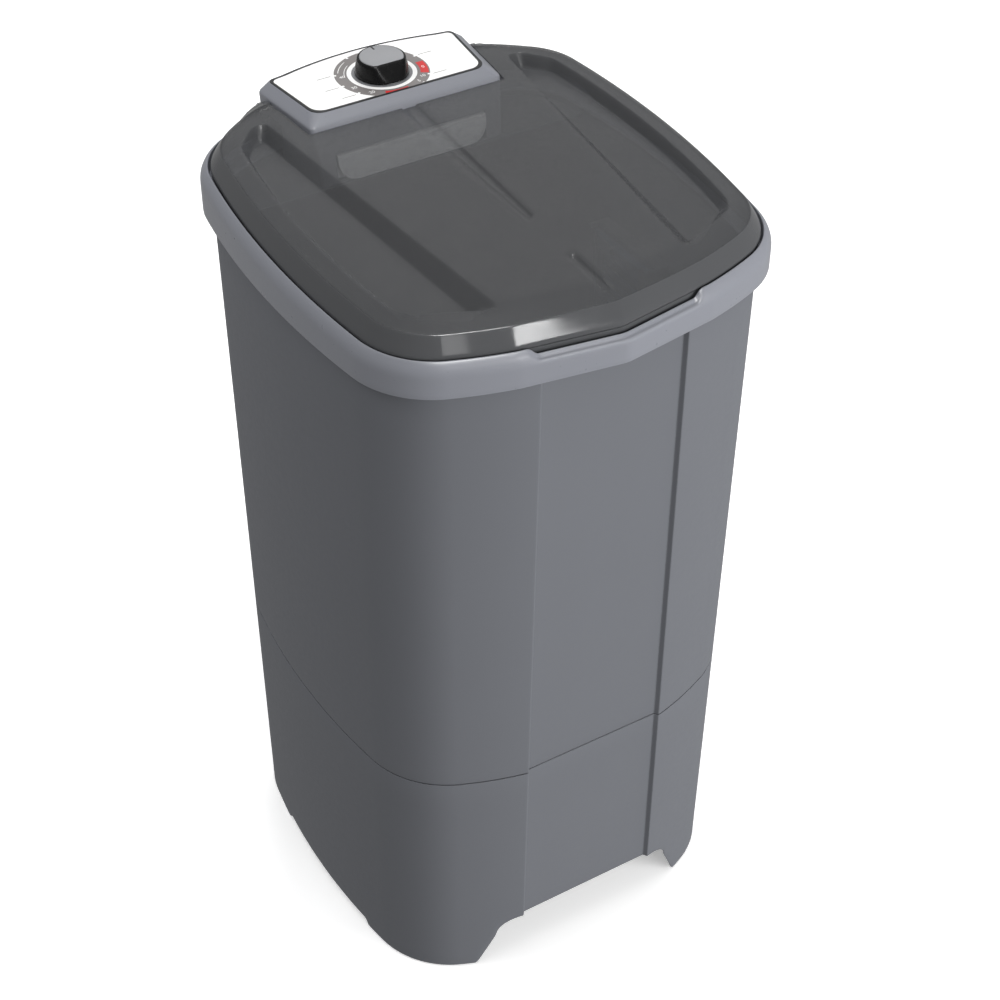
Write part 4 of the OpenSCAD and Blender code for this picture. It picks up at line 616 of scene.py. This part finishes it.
def rim_ring():
    def at(inset, z):
        dip = min(1.0, 1.8 * max(0.0, inset) / RIM_SHOULDER)
        return [(x, y, tilted(z, y) - dip * recess(x, y)) for x, y in rim_outline(inset)]

    def flat(inset, z, prow=True):
        return [(x, y, z) for x, y in rim_outline(inset, prow)]

    rings = [flat(WALL, LIP_Z + 0.4), flat(1.2, LIP_Z), flat(0.4, LIP_Z + 0.3), flat(0, LIP_Z + 1.2)]
    for k in (0.25, 0.5, 0.75):
        rings.append([(x, y, blend_between(LIP_Z + 1.2, tilted(RIM_EDGE_Z - 3.4, y), k))
                      for x, y in rim_outline(0)])
    rings += [at(inset, RIM_EDGE_Z + height) for inset, height in SHOULDER]
    rings += [flat(RIM_SHOULDER + 0.7, LEDGE_TOP + 1.4), flat(RIM_SHOULDER + 1.6, LEDGE_TOP)]
    rings += [flat(MOUTH_IN + back, z, False) for back, z in
              [(-1.2, LEDGE_TOP), (-0.3, LEDGE_TOP - 0.4), (0, LEDGE_TOP - 1.2), (0, LEDGE_Z + 0.2)]]
    rings.append(flat(WALL, LEDGE_Z + 0.2))
    make("rim_ring", *loft(rings, closed_section=True), FINISHES["trim_grey"], "machine",
         "trim_grey", ["top_rim"], crease=40)


# Lid
def distance_to(points, line):
    """Distance from each point to a closed line."""
    a = np.asarray(line, float)
    run = np.roll(a, -1, 0) - a
    square = (run ** 2).sum(1) + 1e-12
    best = np.full(len(points), 1e9)
    for i in range(0, len(points), 4000):
        p = points[i:i + 4000, None, :]
        t = np.clip(((p - a) * run).sum(2) / square, 0, 1)
        best[i:i + 4000] = np.sqrt(((p - a - t[..., None] * run) ** 2).sum(2)).min(1)
    return best


def inside(points, line):
    """Which points lie within a closed line."""
    a = np.asarray(line, float)
    b = np.roll(a, -1, 0)
    hit = np.zeros(len(points), bool)
    for (x1, y1), (x2, y2) in zip(a, b):
        crosses = (y1 > points[:, 1]) != (y2 > points[:, 1])
        if y1 != y2:
            hit ^= crosses & (points[:, 0] < x1 + (x2 - x1) * (points[:, 1] - y1) / (y2 - y1))
    return hit


def rounded(corners, steps=9):
    """Closed outline through (x, y, reach) corners, each softened over its reach."""
    line = []
    count = len(corners)
    for i, (x, y, reach) in enumerate(corners):
        here = np.array((x, y), float)
        back = np.array(corners[i - 1][:2], float) - here
        on = np.array(corners[(i + 1) % count][:2], float) - here
        reach = min(reach, 0.48 * np.hypot(*back), 0.48 * np.hypot(*on))
        if reach < 0.05:
            line.append(here)
            continue
        start, end = here + back / np.hypot(*back) * reach, here + on / np.hypot(*on) * reach
        for k in np.linspace(0, 1, steps):
            line.append((1 - k) ** 2 * start + 2 * k * (1 - k) * here + k * k * end)
    return np.array(line)


def respaced(line, gap):
    """The same closed line with points at even gaps."""
    line = np.vstack([line, line[:1]])
    along = np.concatenate([[0], np.cumsum(np.hypot(*np.diff(line, axis=0).T))])
    marks = np.linspace(0, along[-1], max(3, int(round(along[-1] / gap))) + 1)[:-1]
    return np.stack([np.interp(marks, along, line[:, c]) for c in (0, 1)], 1)


POCKET_FRONT, POCKET_BACK = -196, 178
POCKET_LINE = ((-192, 95), (178, 136))
POCKET_WALLS = {"front": 15.0, "back": 8.0, "outer": 7.0, "line": (18.5, 9.5)}
POCKET_FROM_EDGE, POCKET_POINT_GAP = 31, 3.0


def pocket_loop(k):
    """Outline of the right-hand sunk panel: k 0 at its upper edge and 1 at its floor."""
    y0, y1 = POCKET_FRONT + POCKET_WALLS["front"] * k, POCKET_BACK - POCKET_WALLS["back"] * k
    from_edge = LID_IN + POCKET_FROM_EDGE + POCKET_WALLS["outer"] * k
    outer = [p for p in rim_outline(from_edge, False) if p[0] > 60]
    outer.sort(key=lambda p: math.atan2(p[1], p[0]))

    def inner(y):
        f = (y - POCKET_LINE[0][0]) / (POCKET_LINE[1][0] - POCKET_LINE[0][0])
        wall = blend_between(*POCKET_WALLS["line"], f)
        return blend_between(POCKET_LINE[0][1], POCKET_LINE[1][1], f) + k * wall

    def outer_x(y):
        ys = np.array([p[1] for p in outer])
        return float(np.interp(y, ys, [p[0] for p in outer]))

    side = [p for p in outer if y0 + 30 < p[1] < y1 - 24]
    corners = [(inner(y0), y0, 11 - 3 * k), (outer_x(y0), y0, 26 - 4 * k)]
    corners += [(x, y, 2.0) for x, y in side]
    corners += [(outer_x(y1), y1, 24 - 5 * k), (inner(y1), y1, 9 - 3 * k)]
    return respaced(rounded(corners), POCKET_POINT_GAP)


def groove_loops(step):
    """Outlines of the two centre grooves, inset by a step."""
    r = GROOVE_R - step

    def end(y, start):
        return [(r * math.cos(a), y + r * math.sin(a)) for a in np.linspace(start, start + math.pi, 13)]

    wide = 2 * GROOVE_R - step
    back = end(BACK_GROOVE[0], math.pi) + [(wide, BACK_GROOVE[1]), (-wide, BACK_GROOVE[1])]
    return [np.array(end(FRONT_GROOVE[0], math.pi) + end(FRONT_GROOVE[1], 0)), np.array(back)]


def console_cut():
    """Outline of the lid's cut-out round the console."""
    front, side, near = CONSOLE_FRONT_Y - 2.3, CONSOLE_FRONT_X + 2.5, HINGE[1] - 21
    half = [(side, front), (HINGE[0] - 1.1, near), (HINGE[0], near + 1), (HINGE[0], HINGE[1] + 9),
            (HINGE[0] + 4, 300)]
    return np.array([(-x, y) for x, y in half[::-1]] + half)


def bowed_share(d):
    """How far the lid's pointed outline has turned into a plain bow at a distance from its edge."""
    return 0.8 * ease((d - 2) / 16)


def lid_line(d):
    """Outline at a distance from the lid's edge: pointed at the edge, softly bowed at the crest."""
    k = float(bowed_share(d))
    return [tuple(blend_between(a, b, k) for a, b in zip(p, q))
            for p, q in zip(rim_outline(LID_IN + d), rim_outline(LID_IN + d, False))]


# The lid's section from its edge inwards: distances, and the height over the edge at each of them.
SECTION_IN = (0, 0.35, 1, 3, 6, 9, 10.6, 11.2, 11.8, 12.6, 18, 24, 32, 41, 90)
SECTION_UP = (-3, -1.3, 0, 3.2, 7.6, 12.1, 14.4, 15.0, 15.3, 15.5, 16.4, 17.4, 18.8, 20, 20)
# Where the sheet's own lines lie, and how a sunk panel's wall rounds at its top and foot.
SHEET_LINES = (0, 0.35, 1, 2, 3.5, 5.2, 7, 8.6, 9.8, 10.6, 11.2, 11.8, 12.6, 14.5, 18, 22, 27, 34, 41)
WALL_PART = (0, 0.03, 0.07, 0.12, 0.88, 0.93, 0.97, 1)
WALL_DROP = (0, 0.008, 0.035, 0.085, 0.915, 0.965, 0.992, 1)


def lid_height(points):
    """Height of the lid's upper face over each point."""
    x, y = points[:, 0], points[:, 1]
    d = distance_to(points, rim_outline(LID_IN))
    k = bowed_share(d)
    d = d * (1 - k) + distance_to(points, rim_outline(LID_IN, False)) * k
    body = np.interp(d, SECTION_IN, SECTION_UP)
    ear = EAR_LIFT * ease((172 - abs(x)) / 45) * ease((y - 120) / 60)
    share = np.interp(d, [0, 1, 6, 11, 18, 41], [1, 1, 0.62, 0.3, 0.12, 0])
    tilt = RIM_TILT * (y + RIM_D / 2)
    z = LID_EDGE_Z + tilt + body + ear * share
    mirrored = np.stack([abs(x), y], 1)
    top, floor = pocket_loop(0), pocket_loop(1)
    near_top, near_floor = distance_to(mirrored, top), distance_to(mirrored, floor)
    part = np.where(inside(mirrored, floor), 1.0, near_top / np.maximum(near_top + near_floor, 1e-6))
    curve = np.interp(part, WALL_PART, WALL_DROP)
    sunk = LID_EDGE_Z + tilt + LID_RISE - POCKET_DROP
    z = np.where(inside(mirrored, top), z * (1 - curve) + sunk * curve, z)
    for outline in groove_loops(0):
        held = inside(points, outline)
        depth = GROOVE_DEPTH * ease(distance_to(points, outline) / 1.5)
        z = np.where(held, z - depth, z)
    return z


def lid_sheet():
    """Upper face of the lid as points and triangles, from its own feature lines."""
    lines = [np.array(lid_line(d)) for d in SHEET_LINES]
    cut = console_cut()
    lines.append(cut)
    for k in sorted({*WALL_PART, 0.35, 0.6}):
        loop = pocket_loop(k)
        lines += [loop, loop * (-1, 1)]
    for step in (0, 0.5, 1.0, 1.5):
        lines += groove_loops(step)
    points, edges = [], []
    for line in lines:
        first = len(points)
        points += [tuple(p) for p in line]
        edges += [(first + i, first + (i + 1) % len(line)) for i in range(len(line))]
    # a slightly uneven grid fills the flat areas between the lines
    grid = np.array([(x, y) for x in np.arange(-216, 217, 9.0) for y in np.arange(-240, 241, 9.0)])
    grid += np.stack([np.sin(grid[:, 1] * 0.7), np.cos(grid[:, 0] * 0.9)], 1) * 1.3
    close = np.min([distance_to(grid, line) for line in lines], 0)
    grid = grid[inside(grid, lines[0]) & (close > 3.2)]
    points += [tuple(p) for p in grid]
    made = delaunay_2d_cdt([Vector(p) for p in points], edges, [], 0, 1e-4)
    spots = np.array([(v.x, v.y) for v in made[0]])
    faces = np.array([f for f in made[2] if len(f) == 3])
    middle = spots[faces].mean(1)
    keep = inside(middle, lines[0]) & ~inside(middle, cut)
    faces = faces[keep]
    used = np.unique(faces)
    again = np.full(len(spots), -1)
    again[used] = np.arange(len(used))
    return spots[used], again[faces], lines[0]


# Lid's skirt outside, with the small groove under its band: inset, and depth below the sheet's edge or
# height over the skirt's lower edge.
SKIRT_UPPER = [(0.3, 0.3), (1.6, 0.7), (1.6, 1.5), (0.8, 1.9)]
SKIRT_LOWER = [(0.8, 0.3), (1.2, 0)]


def lid_shell():
    """Lid of one sheet thickness: upper face, the same face below it, and the skirt that joins them."""
    spots, sheet, rim = lid_sheet()
    count = len(spots)
    inward = spots / np.hypot(spots[:, 0], spots[:, 1])[:, None]
    below = spots - inward * np.clip(LID_T + 0.8 - distance_to(spots, rim), 0, None)[:, None]
    points = [(*p, h) for p, h in zip(spots, lid_height(spots))]
    points += [(*p, h - LID_T) for p, h in zip(below, lid_height(below))]
    faces = [tuple(int(i) for i in f) for f in sheet]
    edges = {(f[i], f[(i + 1) % 3]) for f in faces for i in range(3)}
    border = [e for e in edges if (e[1], e[0]) not in edges]
    faces += [tuple(i + count for i in f[::-1]) for f in faces]
    on_rim = distance_to(spots, rim) < 0.02
    skirt = [e for e in border if on_rim[e[0]] and on_rim[e[1]]]
    faces += [(b, a, a + count, b + count) for a, b in set(border) - set(skirt)]
    chain = {}
    for i in sorted({v for e in skirt for v in e}):
        top = points[i][2]
        bottom = LID_SKIRT_Z + SKIRT_REAR_LIFT * float(ease((points[i][1] - 100) / 60))
        chain[i] = [i]
        steps = [(inset, top - down) for inset, down in SKIRT_UPPER]
        steps += [(inset, bottom + up) for inset, up in SKIRT_LOWER]
        for inset, height in steps:
            points.append((*(spots[i] - inward[i] * inset), max(height, bottom)))
            chain[i].append(len(points) - 1)
        points.append((*below[i], bottom))
        chain[i] += [len(points) - 1, i + count]
    for a, b in skirt:
        faces += [(chain[b][k], chain[a][k], chain[a][k + 1], chain[b][k + 1])
                  for k in range(len(chain[a]) - 1)]
    shell = make("lid_shell", points, faces, FINISHES["smoke_plastic"], "lid", "smoke_plastic", ["lid"],
                 crease=50, fitted=[SMOKE_EDGE])
    middles = np.array([(f.center.x / MM, f.center.y / MM) for f in shell.data.polygons])
    for face, flat in zip(shell.data.polygons, inside(middles, lid_line(CREST))):
        face.material_index = 0 if flat else 1


def lid_lugs():
    """Round lugs on the lid's ears that the hinge pins pass through."""
    radius, long, soft = 8, 8, 0.6
    parts = []
    for start in (-HINGE[0] - long, HINGE[0]):
        end = start + long
        rings = []
        for x, r in [(start, radius - soft), (start + soft, radius), (end - soft, radius),
                     (end, radius - soft)]:
            rings.append([(x, HINGE[1] + r * math.cos(a), HINGE[2] + r * math.sin(a))
                          for a in np.linspace(0, 2 * math.pi, 40, endpoint=False)])
        parts.append(loft(rings, caps=(True, True)))
    make("lid_hinge_lugs", *together(*parts), FINISHES["smoke_plastic"], "lid", "smoke_plastic")


# Console
def console_outline(xf, xb, yf, yb, bow, r):
    """Plan of the console: half widths and places of its front and back, bow of the back, front corner."""
    back_r = 6
    half = [(x, yf) for x in np.linspace(0, xf - r, 8)[1:-1]]
    half += [(xf - r + r * math.sin(a), yf + r - r * math.cos(a))
             for a in np.radians(np.linspace(0, 84, 13))]
    half += [(xb - back_r + back_r * math.cos(a), yb - back_r + back_r * math.sin(a))
             for a in np.radians(np.linspace(0, 78, 9))]
    half += [((xb - 10) * k, yb + bow * (1 - k * k)) for k in np.linspace(0.93, 0, 13)]
    return half + [(-x, y) for x, y in half[-2::-1]] + [(0.0, yf)]


# Plans at the top face, at the widest line below it and at the foot of the sides.
TOP_PLAN = (98, 105, 149.5, 236.4, 13, 14)
SIDE_PLAN = (CONSOLE_FRONT_X, CONSOLE_BACK_X, CONSOLE_FRONT_Y, CONSOLE_BACK_Y, 15.6, 5)
REAR_PLAN = (CONSOLE_FRONT_X - 1.5, CONSOLE_BACK_X - 1, CONSOLE_FRONT_Y - 5, CONSOLE_BACK_Y - 0.5, 15.6, 5)


def plan(a, b, k, inset=0.0):
    xf, xb, yf, yb, bow, r = [blend_between(p, q, k) for p, q in zip(a, b)]
    return console_outline(xf - inset, xb - inset, yf + inset, yb - inset, bow, r)


# The console's sides from the foot up: the two plans, share of the way, inset and height.
CONSOLE_SECTION = [
    (REAR_PLAN, SIDE_PLAN, 0.0, 2.4, CONSOLE_REAR_Z), (REAR_PLAN, SIDE_PLAN, 0.0, 0.5, CONSOLE_REAR_Z),
    (REAR_PLAN, SIDE_PLAN, 0.02, 0, CONSOLE_REAR_Z + 0.5), (REAR_PLAN, SIDE_PLAN, 0.5, 0, 859.3),
    (REAR_PLAN, SIDE_PLAN, 0.93, 0, 868.4), (REAR_PLAN, SIDE_PLAN, 1.0, 0.12, 869.5),
    (SIDE_PLAN, TOP_PLAN, 0.02, 0.3, 870.2), (SIDE_PLAN, TOP_PLAN, 0.1, 0, 870.95),
    (SIDE_PLAN, TOP_PLAN, 0.3, 0, 872.55), (SIDE_PLAN, TOP_PLAN, 0.6, 0, 874.9),
    (SIDE_PLAN, TOP_PLAN, 0.9, 0, 877.2), (SIDE_PLAN, TOP_PLAN, 0.97, 0, 877.75),
    (SIDE_PLAN, TOP_PLAN, 1.0, 0.4, CONSOLE_Z), (SIDE_PLAN, TOP_PLAN, 1.0, 4, CONSOLE_Z)]

# Lower walls between the console and its tray, and the drawer's opening in the front one.
LOW_BACK_Y, LOW_FRONT_Y, LOW_UPPER_Y = 202.8, 129, 134.4
HOLE_HALF, HOLE_LOW, HOLE_TOP, HOLE_DEPTH = 84.2, 811.2, 840.0, 2.5


def console_shell():
    rings = [lifted(plan(a, b, k, inset), z) for a, b, k, inset, z in CONSOLE_SECTION]
    upper = (REAR_PLAN[0] - 0.2, 110, LOW_UPPER_Y, LOW_BACK_Y, 13, 5)
    lower = (103, 110, LOW_FRONT_Y, LOW_BACK_Y, 13, 5)
    span = CONSOLE_REAR_Z + 2 - CONSOLE_LOW_Z
    walls = [lifted(plan(upper, lower, (CONSOLE_REAR_Z + 2 - z) / span), z)
             for z in (CONSOLE_REAR_Z + 1, CONSOLE_LOW_Z)]
    make("console_shell", *together(loft(rings, caps=(False, True)), console_walls(*walls)),
         FINISHES["trim_grey"], "machine", "trim_grey", ["console_housing"], crease=30)


def console_walls(upper, lower):
    """Lower walls of the console, with the drawer's opening left in the front one."""
    points, faces = [], []
    for pair in zip(upper, lower):
        points += pair
    for i, a in enumerate(upper):
        j = (i + 1) % len(upper)
        if all(p[1] < 136 and abs(p[0]) < 99 for p in (a, upper[j])):
            continue
        faces.append((2 * i, 2 * i + 1, 2 * j + 1, 2 * j))
    xs = sorted(round(p[0], 3) for p in upper if p[1] < 136 and abs(p[0]) < 99.5)
    left, right, top, foot = xs[0], xs[-1], upper[0][2], lower[0][2]

    def wall_y(z):
        return blend_between(LOW_UPPER_Y, LOW_FRONT_Y, (top - z) / (top - foot))

    for x0, x1, low, high in [
            (left, right, HOLE_TOP, top), (left, right, foot, HOLE_LOW),
            (left, -HOLE_HALF, HOLE_LOW, HOLE_TOP), (HOLE_HALF, right, HOLE_LOW, HOLE_TOP)]:
        first = len(points)
        points += [(x, wall_y(z), z) for x, z in [(x0, low), (x1, low), (x1, high), (x0, high)]]
        faces.append((first, first + 1, first + 2, first + 3))
    first = len(points)
    for x, z in [(-HOLE_HALF, HOLE_LOW), (HOLE_HALF, HOLE_LOW), (HOLE_HALF, HOLE_TOP),
                 (-HOLE_HALF, HOLE_TOP)]:
        points += [(x, wall_y(z), z), (x, wall_y(z) + HOLE_DEPTH, z)]
    for i in range(4):
        a, b = first + 2 * i, first + 2 * ((i + 1) % 4)
        faces.append((a, a + 1, b + 1, b))
    return points, faces


def label_plate():
    """White film with a black printed border, set a little in from the console's edge."""
    step, border = 0.6, 3.0
    rings = [lifted(plan(TOP_PLAN, TOP_PLAN, 0, inset), CONSOLE_Z + up) for inset, up in
             [(step, -0.05), (step, 0.4), (step + 0.2, 0.6), (step + border, 0.6)]]
    points, faces = loft(rings)
    count = len(rings[0])
    faces.append(tuple(range(3 * count, 4 * count)))
    plate = make("label_plate", points, faces, LINE_BLACK, "machine", "label_white", ["console_label"],
                 fitted=[FINISHES["label_white"]])
    for face in plate.data.polygons:
        face.material_index = 1 if len(face.vertices) > 4 else 0


# Bearings on the dial, in degrees from +X: the ring's notches and the plain lines beside it.
NOTCHES, NOTCH_GAP = (17, 48, 80, 110, 158, 187, 213, 252, 304, 326), 1.6
SIDE_LINES, LINE_FROM_R, LINE_LONG, LINE_HALF = (158, 187, 213, 17, -34, -56), 49.5, 15, 0.45
PRINT_UP, OVERPRINT_UP = 0.05, 0.1
LABEL_FRONT_Y, LOWEST_LINE_Y = 152.2, 154


def dial_print():
    """Printed dial round the knob: grey ring with notches, red sectors, tick lines and plain arcs, and a
    grey ring painted round the knob's foot as its shadow.
    """
    points, faces = [], []

    def reach(r, a):
        """Radius, cut short where the label ends in front of the knob."""
        down = -math.sin(a)
        return min(r, (KNOB_Y - LABEL_FRONT_Y) / down) if down > 0.05 else r

    def sector(r0, r1, a0, a1, up):
        steps = max(2, int(abs(a1 - a0) / 2.5))
        first = len(points)
        for a in np.radians(np.linspace(a0, a1, steps + 1)):
            for r in (reach(r0, a), reach(r1, a)):
                points.append((r * math.cos(a), KNOB_Y + r * math.sin(a), PRINT_Z + up))
        for i in range(steps):
            a = first + 2 * i
            if reach(r1, math.radians(blend_between(a0, a1, (i + 0.5) / steps))) - r0 > 0.2:
                faces.append((a, a + 1, a + 3, a + 2))

    sector(35.2, 45.6, 0, 360, PRINT_UP)
    for here, on in zip(NOTCHES, [*NOTCHES[1:], NOTCHES[0] + 360]):
        sector(45.6, 47.9, here + NOTCH_GAP, on - NOTCH_GAP, PRINT_UP)
    sector(38.4, 46.6, -30.5, 1.5, OVERPRINT_UP)
    sector(38.4, 46.6, -113.5, -77.5, OVERPRINT_UP)
    # grey ring round the knob's foot: painted shadow of the knob on the label
    sector(26.0, 30.6, 0, 360, PRINT_UP)
    sector(43.4, 44.1, 121, 152, OVERPRINT_UP)
    sector(37.4, 38.0, 128, 166, OVERPRINT_UP)
    for bearing in SIDE_LINES:
        a = math.radians(bearing)
        side = 1 if math.cos(a) > 0 else -1
        x0, y0 = LINE_FROM_R * math.cos(a) + side * 2, KNOB_Y + LINE_FROM_R * math.sin(a)
        if y0 < LOWEST_LINE_Y:
            continue
        first, x1 = len(points), x0 + side * LINE_LONG
        points += [(x, y0 + up * LINE_HALF, PRINT_Z + PRINT_UP)
                   for x, up in [(x0, -1), (x1, -1), (x1, 1), (x0, 1)]]
        faces.append((first, first + 1, first + 2, first + 3))
    dial = make("dial_print", points, faces, DIAL_GREY, "machine", "label_white",
                fitted=[DIAL_RED, KNOB_SHADOW_GREY, FINISHES["label_white"]])
    for face in dial.data.polygons:
        c = face.center / MM
        r, bearing = math.hypot(c.x, c.y - KNOB_Y), math.degrees(math.atan2(c.y - KNOB_Y, c.x))
        if c.z > PRINT_Z + 0.08:
            face.material_index = 3 if bearing > 100 else 1
        else:
            face.material_index = 2 if r < 33 else 0


def dial_numbers():
    """Plain numbers on the dial: text, bearing and radius."""
    for text, angle, r in [("40", 164, 40.3), ("30", 200, 41), ("20", 228, 41.2), ("15", 34, 41),
                           ("10", -40, 41.2), ("5", -55, 41), ("0", -14, 42.3)]:
        curve = bpy.data.curves.new("dial_number_" + text, "FONT")
        curve.body, curve.size, curve.extrude = text, 6.2 * MM, 0.02 * MM
        curve.align_x = curve.align_y = "CENTER"
        curve.materials.append(FINISHES["label_white"])
        number = bpy.data.objects.new("dial_number_" + text, curve)
        scene.collection.objects.link(number)
        a = math.radians(angle)
        number.location = (r * math.cos(a) * MM, (KNOB_Y + r * math.sin(a)) * MM, (PRINT_Z + 0.12) * MM)
        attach(number, "machine")


# Knob
def smooth_max(a, b, k):
    """The larger of two numbers, rounded over where they are within k of each other."""
    h = max(k - abs(a - b), 0) / k
    return max(a, b) + h * h * k / 4


FLAT_LEAN = math.tan(math.radians(28))


def knob_ring(r, h, soft, trim=0.0):
    """Ring of the knob at a height: round, with a leaning flat at the front that blends in softly."""
    flat = -(KNOB_TOP_R - 6.5) - (KNOB_H - h) * FLAT_LEAN + trim
    return [(r * math.cos(a), KNOB_Y + smooth_max(r * math.sin(a), flat, soft), KNOB_Z + h)
            for a in np.linspace(0, 2 * math.pi, 120, endpoint=False)]


def knob():
    top_r, top = KNOB_TOP_R, KNOB_H

    def side(h):
        return blend_between(KNOB_R, top_r + 0.7, (h - 2) / (top - 3.2))

    foot = [(KNOB_R - 0.9, 0, 2), (KNOB_R - 0.3, 0.15, 2), (KNOB_R, 0.7, 2)]
    walls = [(side(h), h, 2.4) for h in np.linspace(2, top - 1.6, 9)]
    crown = [(top_r + 0.45, top - 0.8, 2.4, 0.1), (top_r + 0.05, top - 0.25, 2.4, 0.45),
             (top_r - 0.6, top, 2.6, 1.0), (top_r - 1.5, top, 2.6, 1.75),
             (top_r - 1.7, top - 0.25, 2.6, 1.9), (top_r - 1.7, top - 1, 2.6, 1.9)]
    make("knob_body", *loft([knob_ring(*level) for level in foot + walls + crown], caps=(True, True)),
         FINISHES["black_plastic"], "knob", "black_plastic", ["timer_knob"], crease=50)
    cap = [(top_r - 1.8, top - 0.9, 2.6, 2.0), (top_r - 1.8, top + 0.1, 2.6, 2.0),
           (top_r - 2.0, top + 0.45, 2.6, 2.2), (top_r - 2.5, top + 0.6, 2.6, 2.7)]
    make("knob_cap_plate", *loft([knob_ring(*level) for level in cap], caps=(True, True)),
         FINISHES["cap_grey"], "knob", "cap_grey", ["knob_cap"], crease=50)
    pointer = block((0, KNOB_Y + 18.6, KNOB_Z + top + 0.4), (1.9, 7.4, 0.5), bevel=0.12)
    make("knob_pointer", *pointer, LINE_BLACK, "knob", "black_plastic")


# Dispenser
# Front of the drawer from the back forward: inset and how far behind its face, with a fine outline groove.
DRAWER_SECTION = [(0, 5), (0, 0.7), (0.25, 0.2), (0.8, 0), (2.4, 0), (2.7, 0.5), (3.4, 0.5), (3.7, 0.05)]
DRAWER_FACE_Y = 130


def drawer_face():
    """Front of the dispenser drawer: straight top, round lower corners, leaning out towards its foot."""
    def outline(inset, y):
        half, top, r = DRAWER_HALF - inset, DRAWER_TOP - inset, DRAWER_R - inset
        turn = np.radians(np.linspace(0, 90, 13))
        x, z = DRAWER_HALF - DRAWER_R, DRAWER_LOW + DRAWER_R
        return ([(half, y, top), (0, y, top), (-half, y, top)]
                + [(-x - r * math.cos(a), y, z - r * math.sin(a)) for a in turn]
                + [(x + r * math.sin(a), y, z - r * math.cos(a)) for a in turn])

    lean = DRAWER_LEAN / (DRAWER_TOP - DRAWER_LOW)
    rings = [[(x, DRAWER_FACE_Y + y - lean * (DRAWER_TOP - z) * (y < 3), z) for x, y, z in outline(*step)]
             for step in DRAWER_SECTION]
    make("drawer_face", *loft(rings, caps=(True, True)), FINISHES["drawer_grey"], "drawer",
         "drawer_grey", ["drawer_front"], crease=40)


# ---- carried-over CAD nodes: softened edges in millimetres, and their finishes
SOFT_EDGES = {
    0.3: ["capacitor_clip", "seam_screws", "guard_screws", "console_screws", "hose_clamps", "motor_stator",
          "pulley_nut"],
    0.4: ["lint_filter", "motor_bracket", "drain_grate", "lid_hinge_pins", "motor_pulley"],
    0.5: ["dispenser_sleeve", "driven_pulley", "drain_outlet", "cord_gland", "foot_pads", "bottom_guard",
          "drain_elbow", "harness_clips"],
    0.6: ["dispenser_drawer", "filter_frame", "timer_body"],
    0.8: ["console_tray", "agitator_cap", "upper_shield", "lower_shield", "bearing_housing",
          "rubber_mounts"],
    1.0: ["wash_tub", "capacitor"],
    1.2: ["agitator"]}


def finish_cad_nodes():
    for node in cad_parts.values():
        slots = node.data.materials
        for i, material in enumerate(slots):
            slots[i] = FINISHES[material.name.split(".")[0]]
    for width, names in SOFT_EDGES.items():
        for node in [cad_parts[name] for name in names]:
            join = node.modifiers.new("join faces", "WELD")
            join.merge_threshold = 0.02 * MM
            edge = node.modifiers.new("soft edges", "BEVEL")
            edge.width, edge.segments, edge.limit_method = width * MM, 2, "ANGLE"
            edge.angle_limit = math.radians(30)
            edge.use_clamp_overlap = True
            node.modifiers.new("even shading", "WEIGHTED_NORMAL").keep_sharp = False


finish_cad_nodes()
cabinet_shell()
skirt_shell()
rim_ring()
lid_shell()
lid_lugs()
console_shell()
label_plate()
dial_print()
dial_numbers()
knob()
drawer_face()

# ---- floor
FLOOR_HALF = 30
floor_mesh = bpy.data.meshes.new("floor")
corners = [(x * FLOOR_HALF, y * FLOOR_HALF, 0) for x, y in [(-1, -1), (1, -1), (1, 1), (-1, 1)]]
floor_mesh.from_pydata(corners, [], [(0, 1, 2, 3)])
floor_mesh.materials.append(FLOOR_WHITE)
floor = bpy.data.objects.new("floor", floor_mesh)
scene.collection.objects.link(floor)
floor.visible_diffuse = floor.visible_glossy = False  # the machine is lit by the lights alone
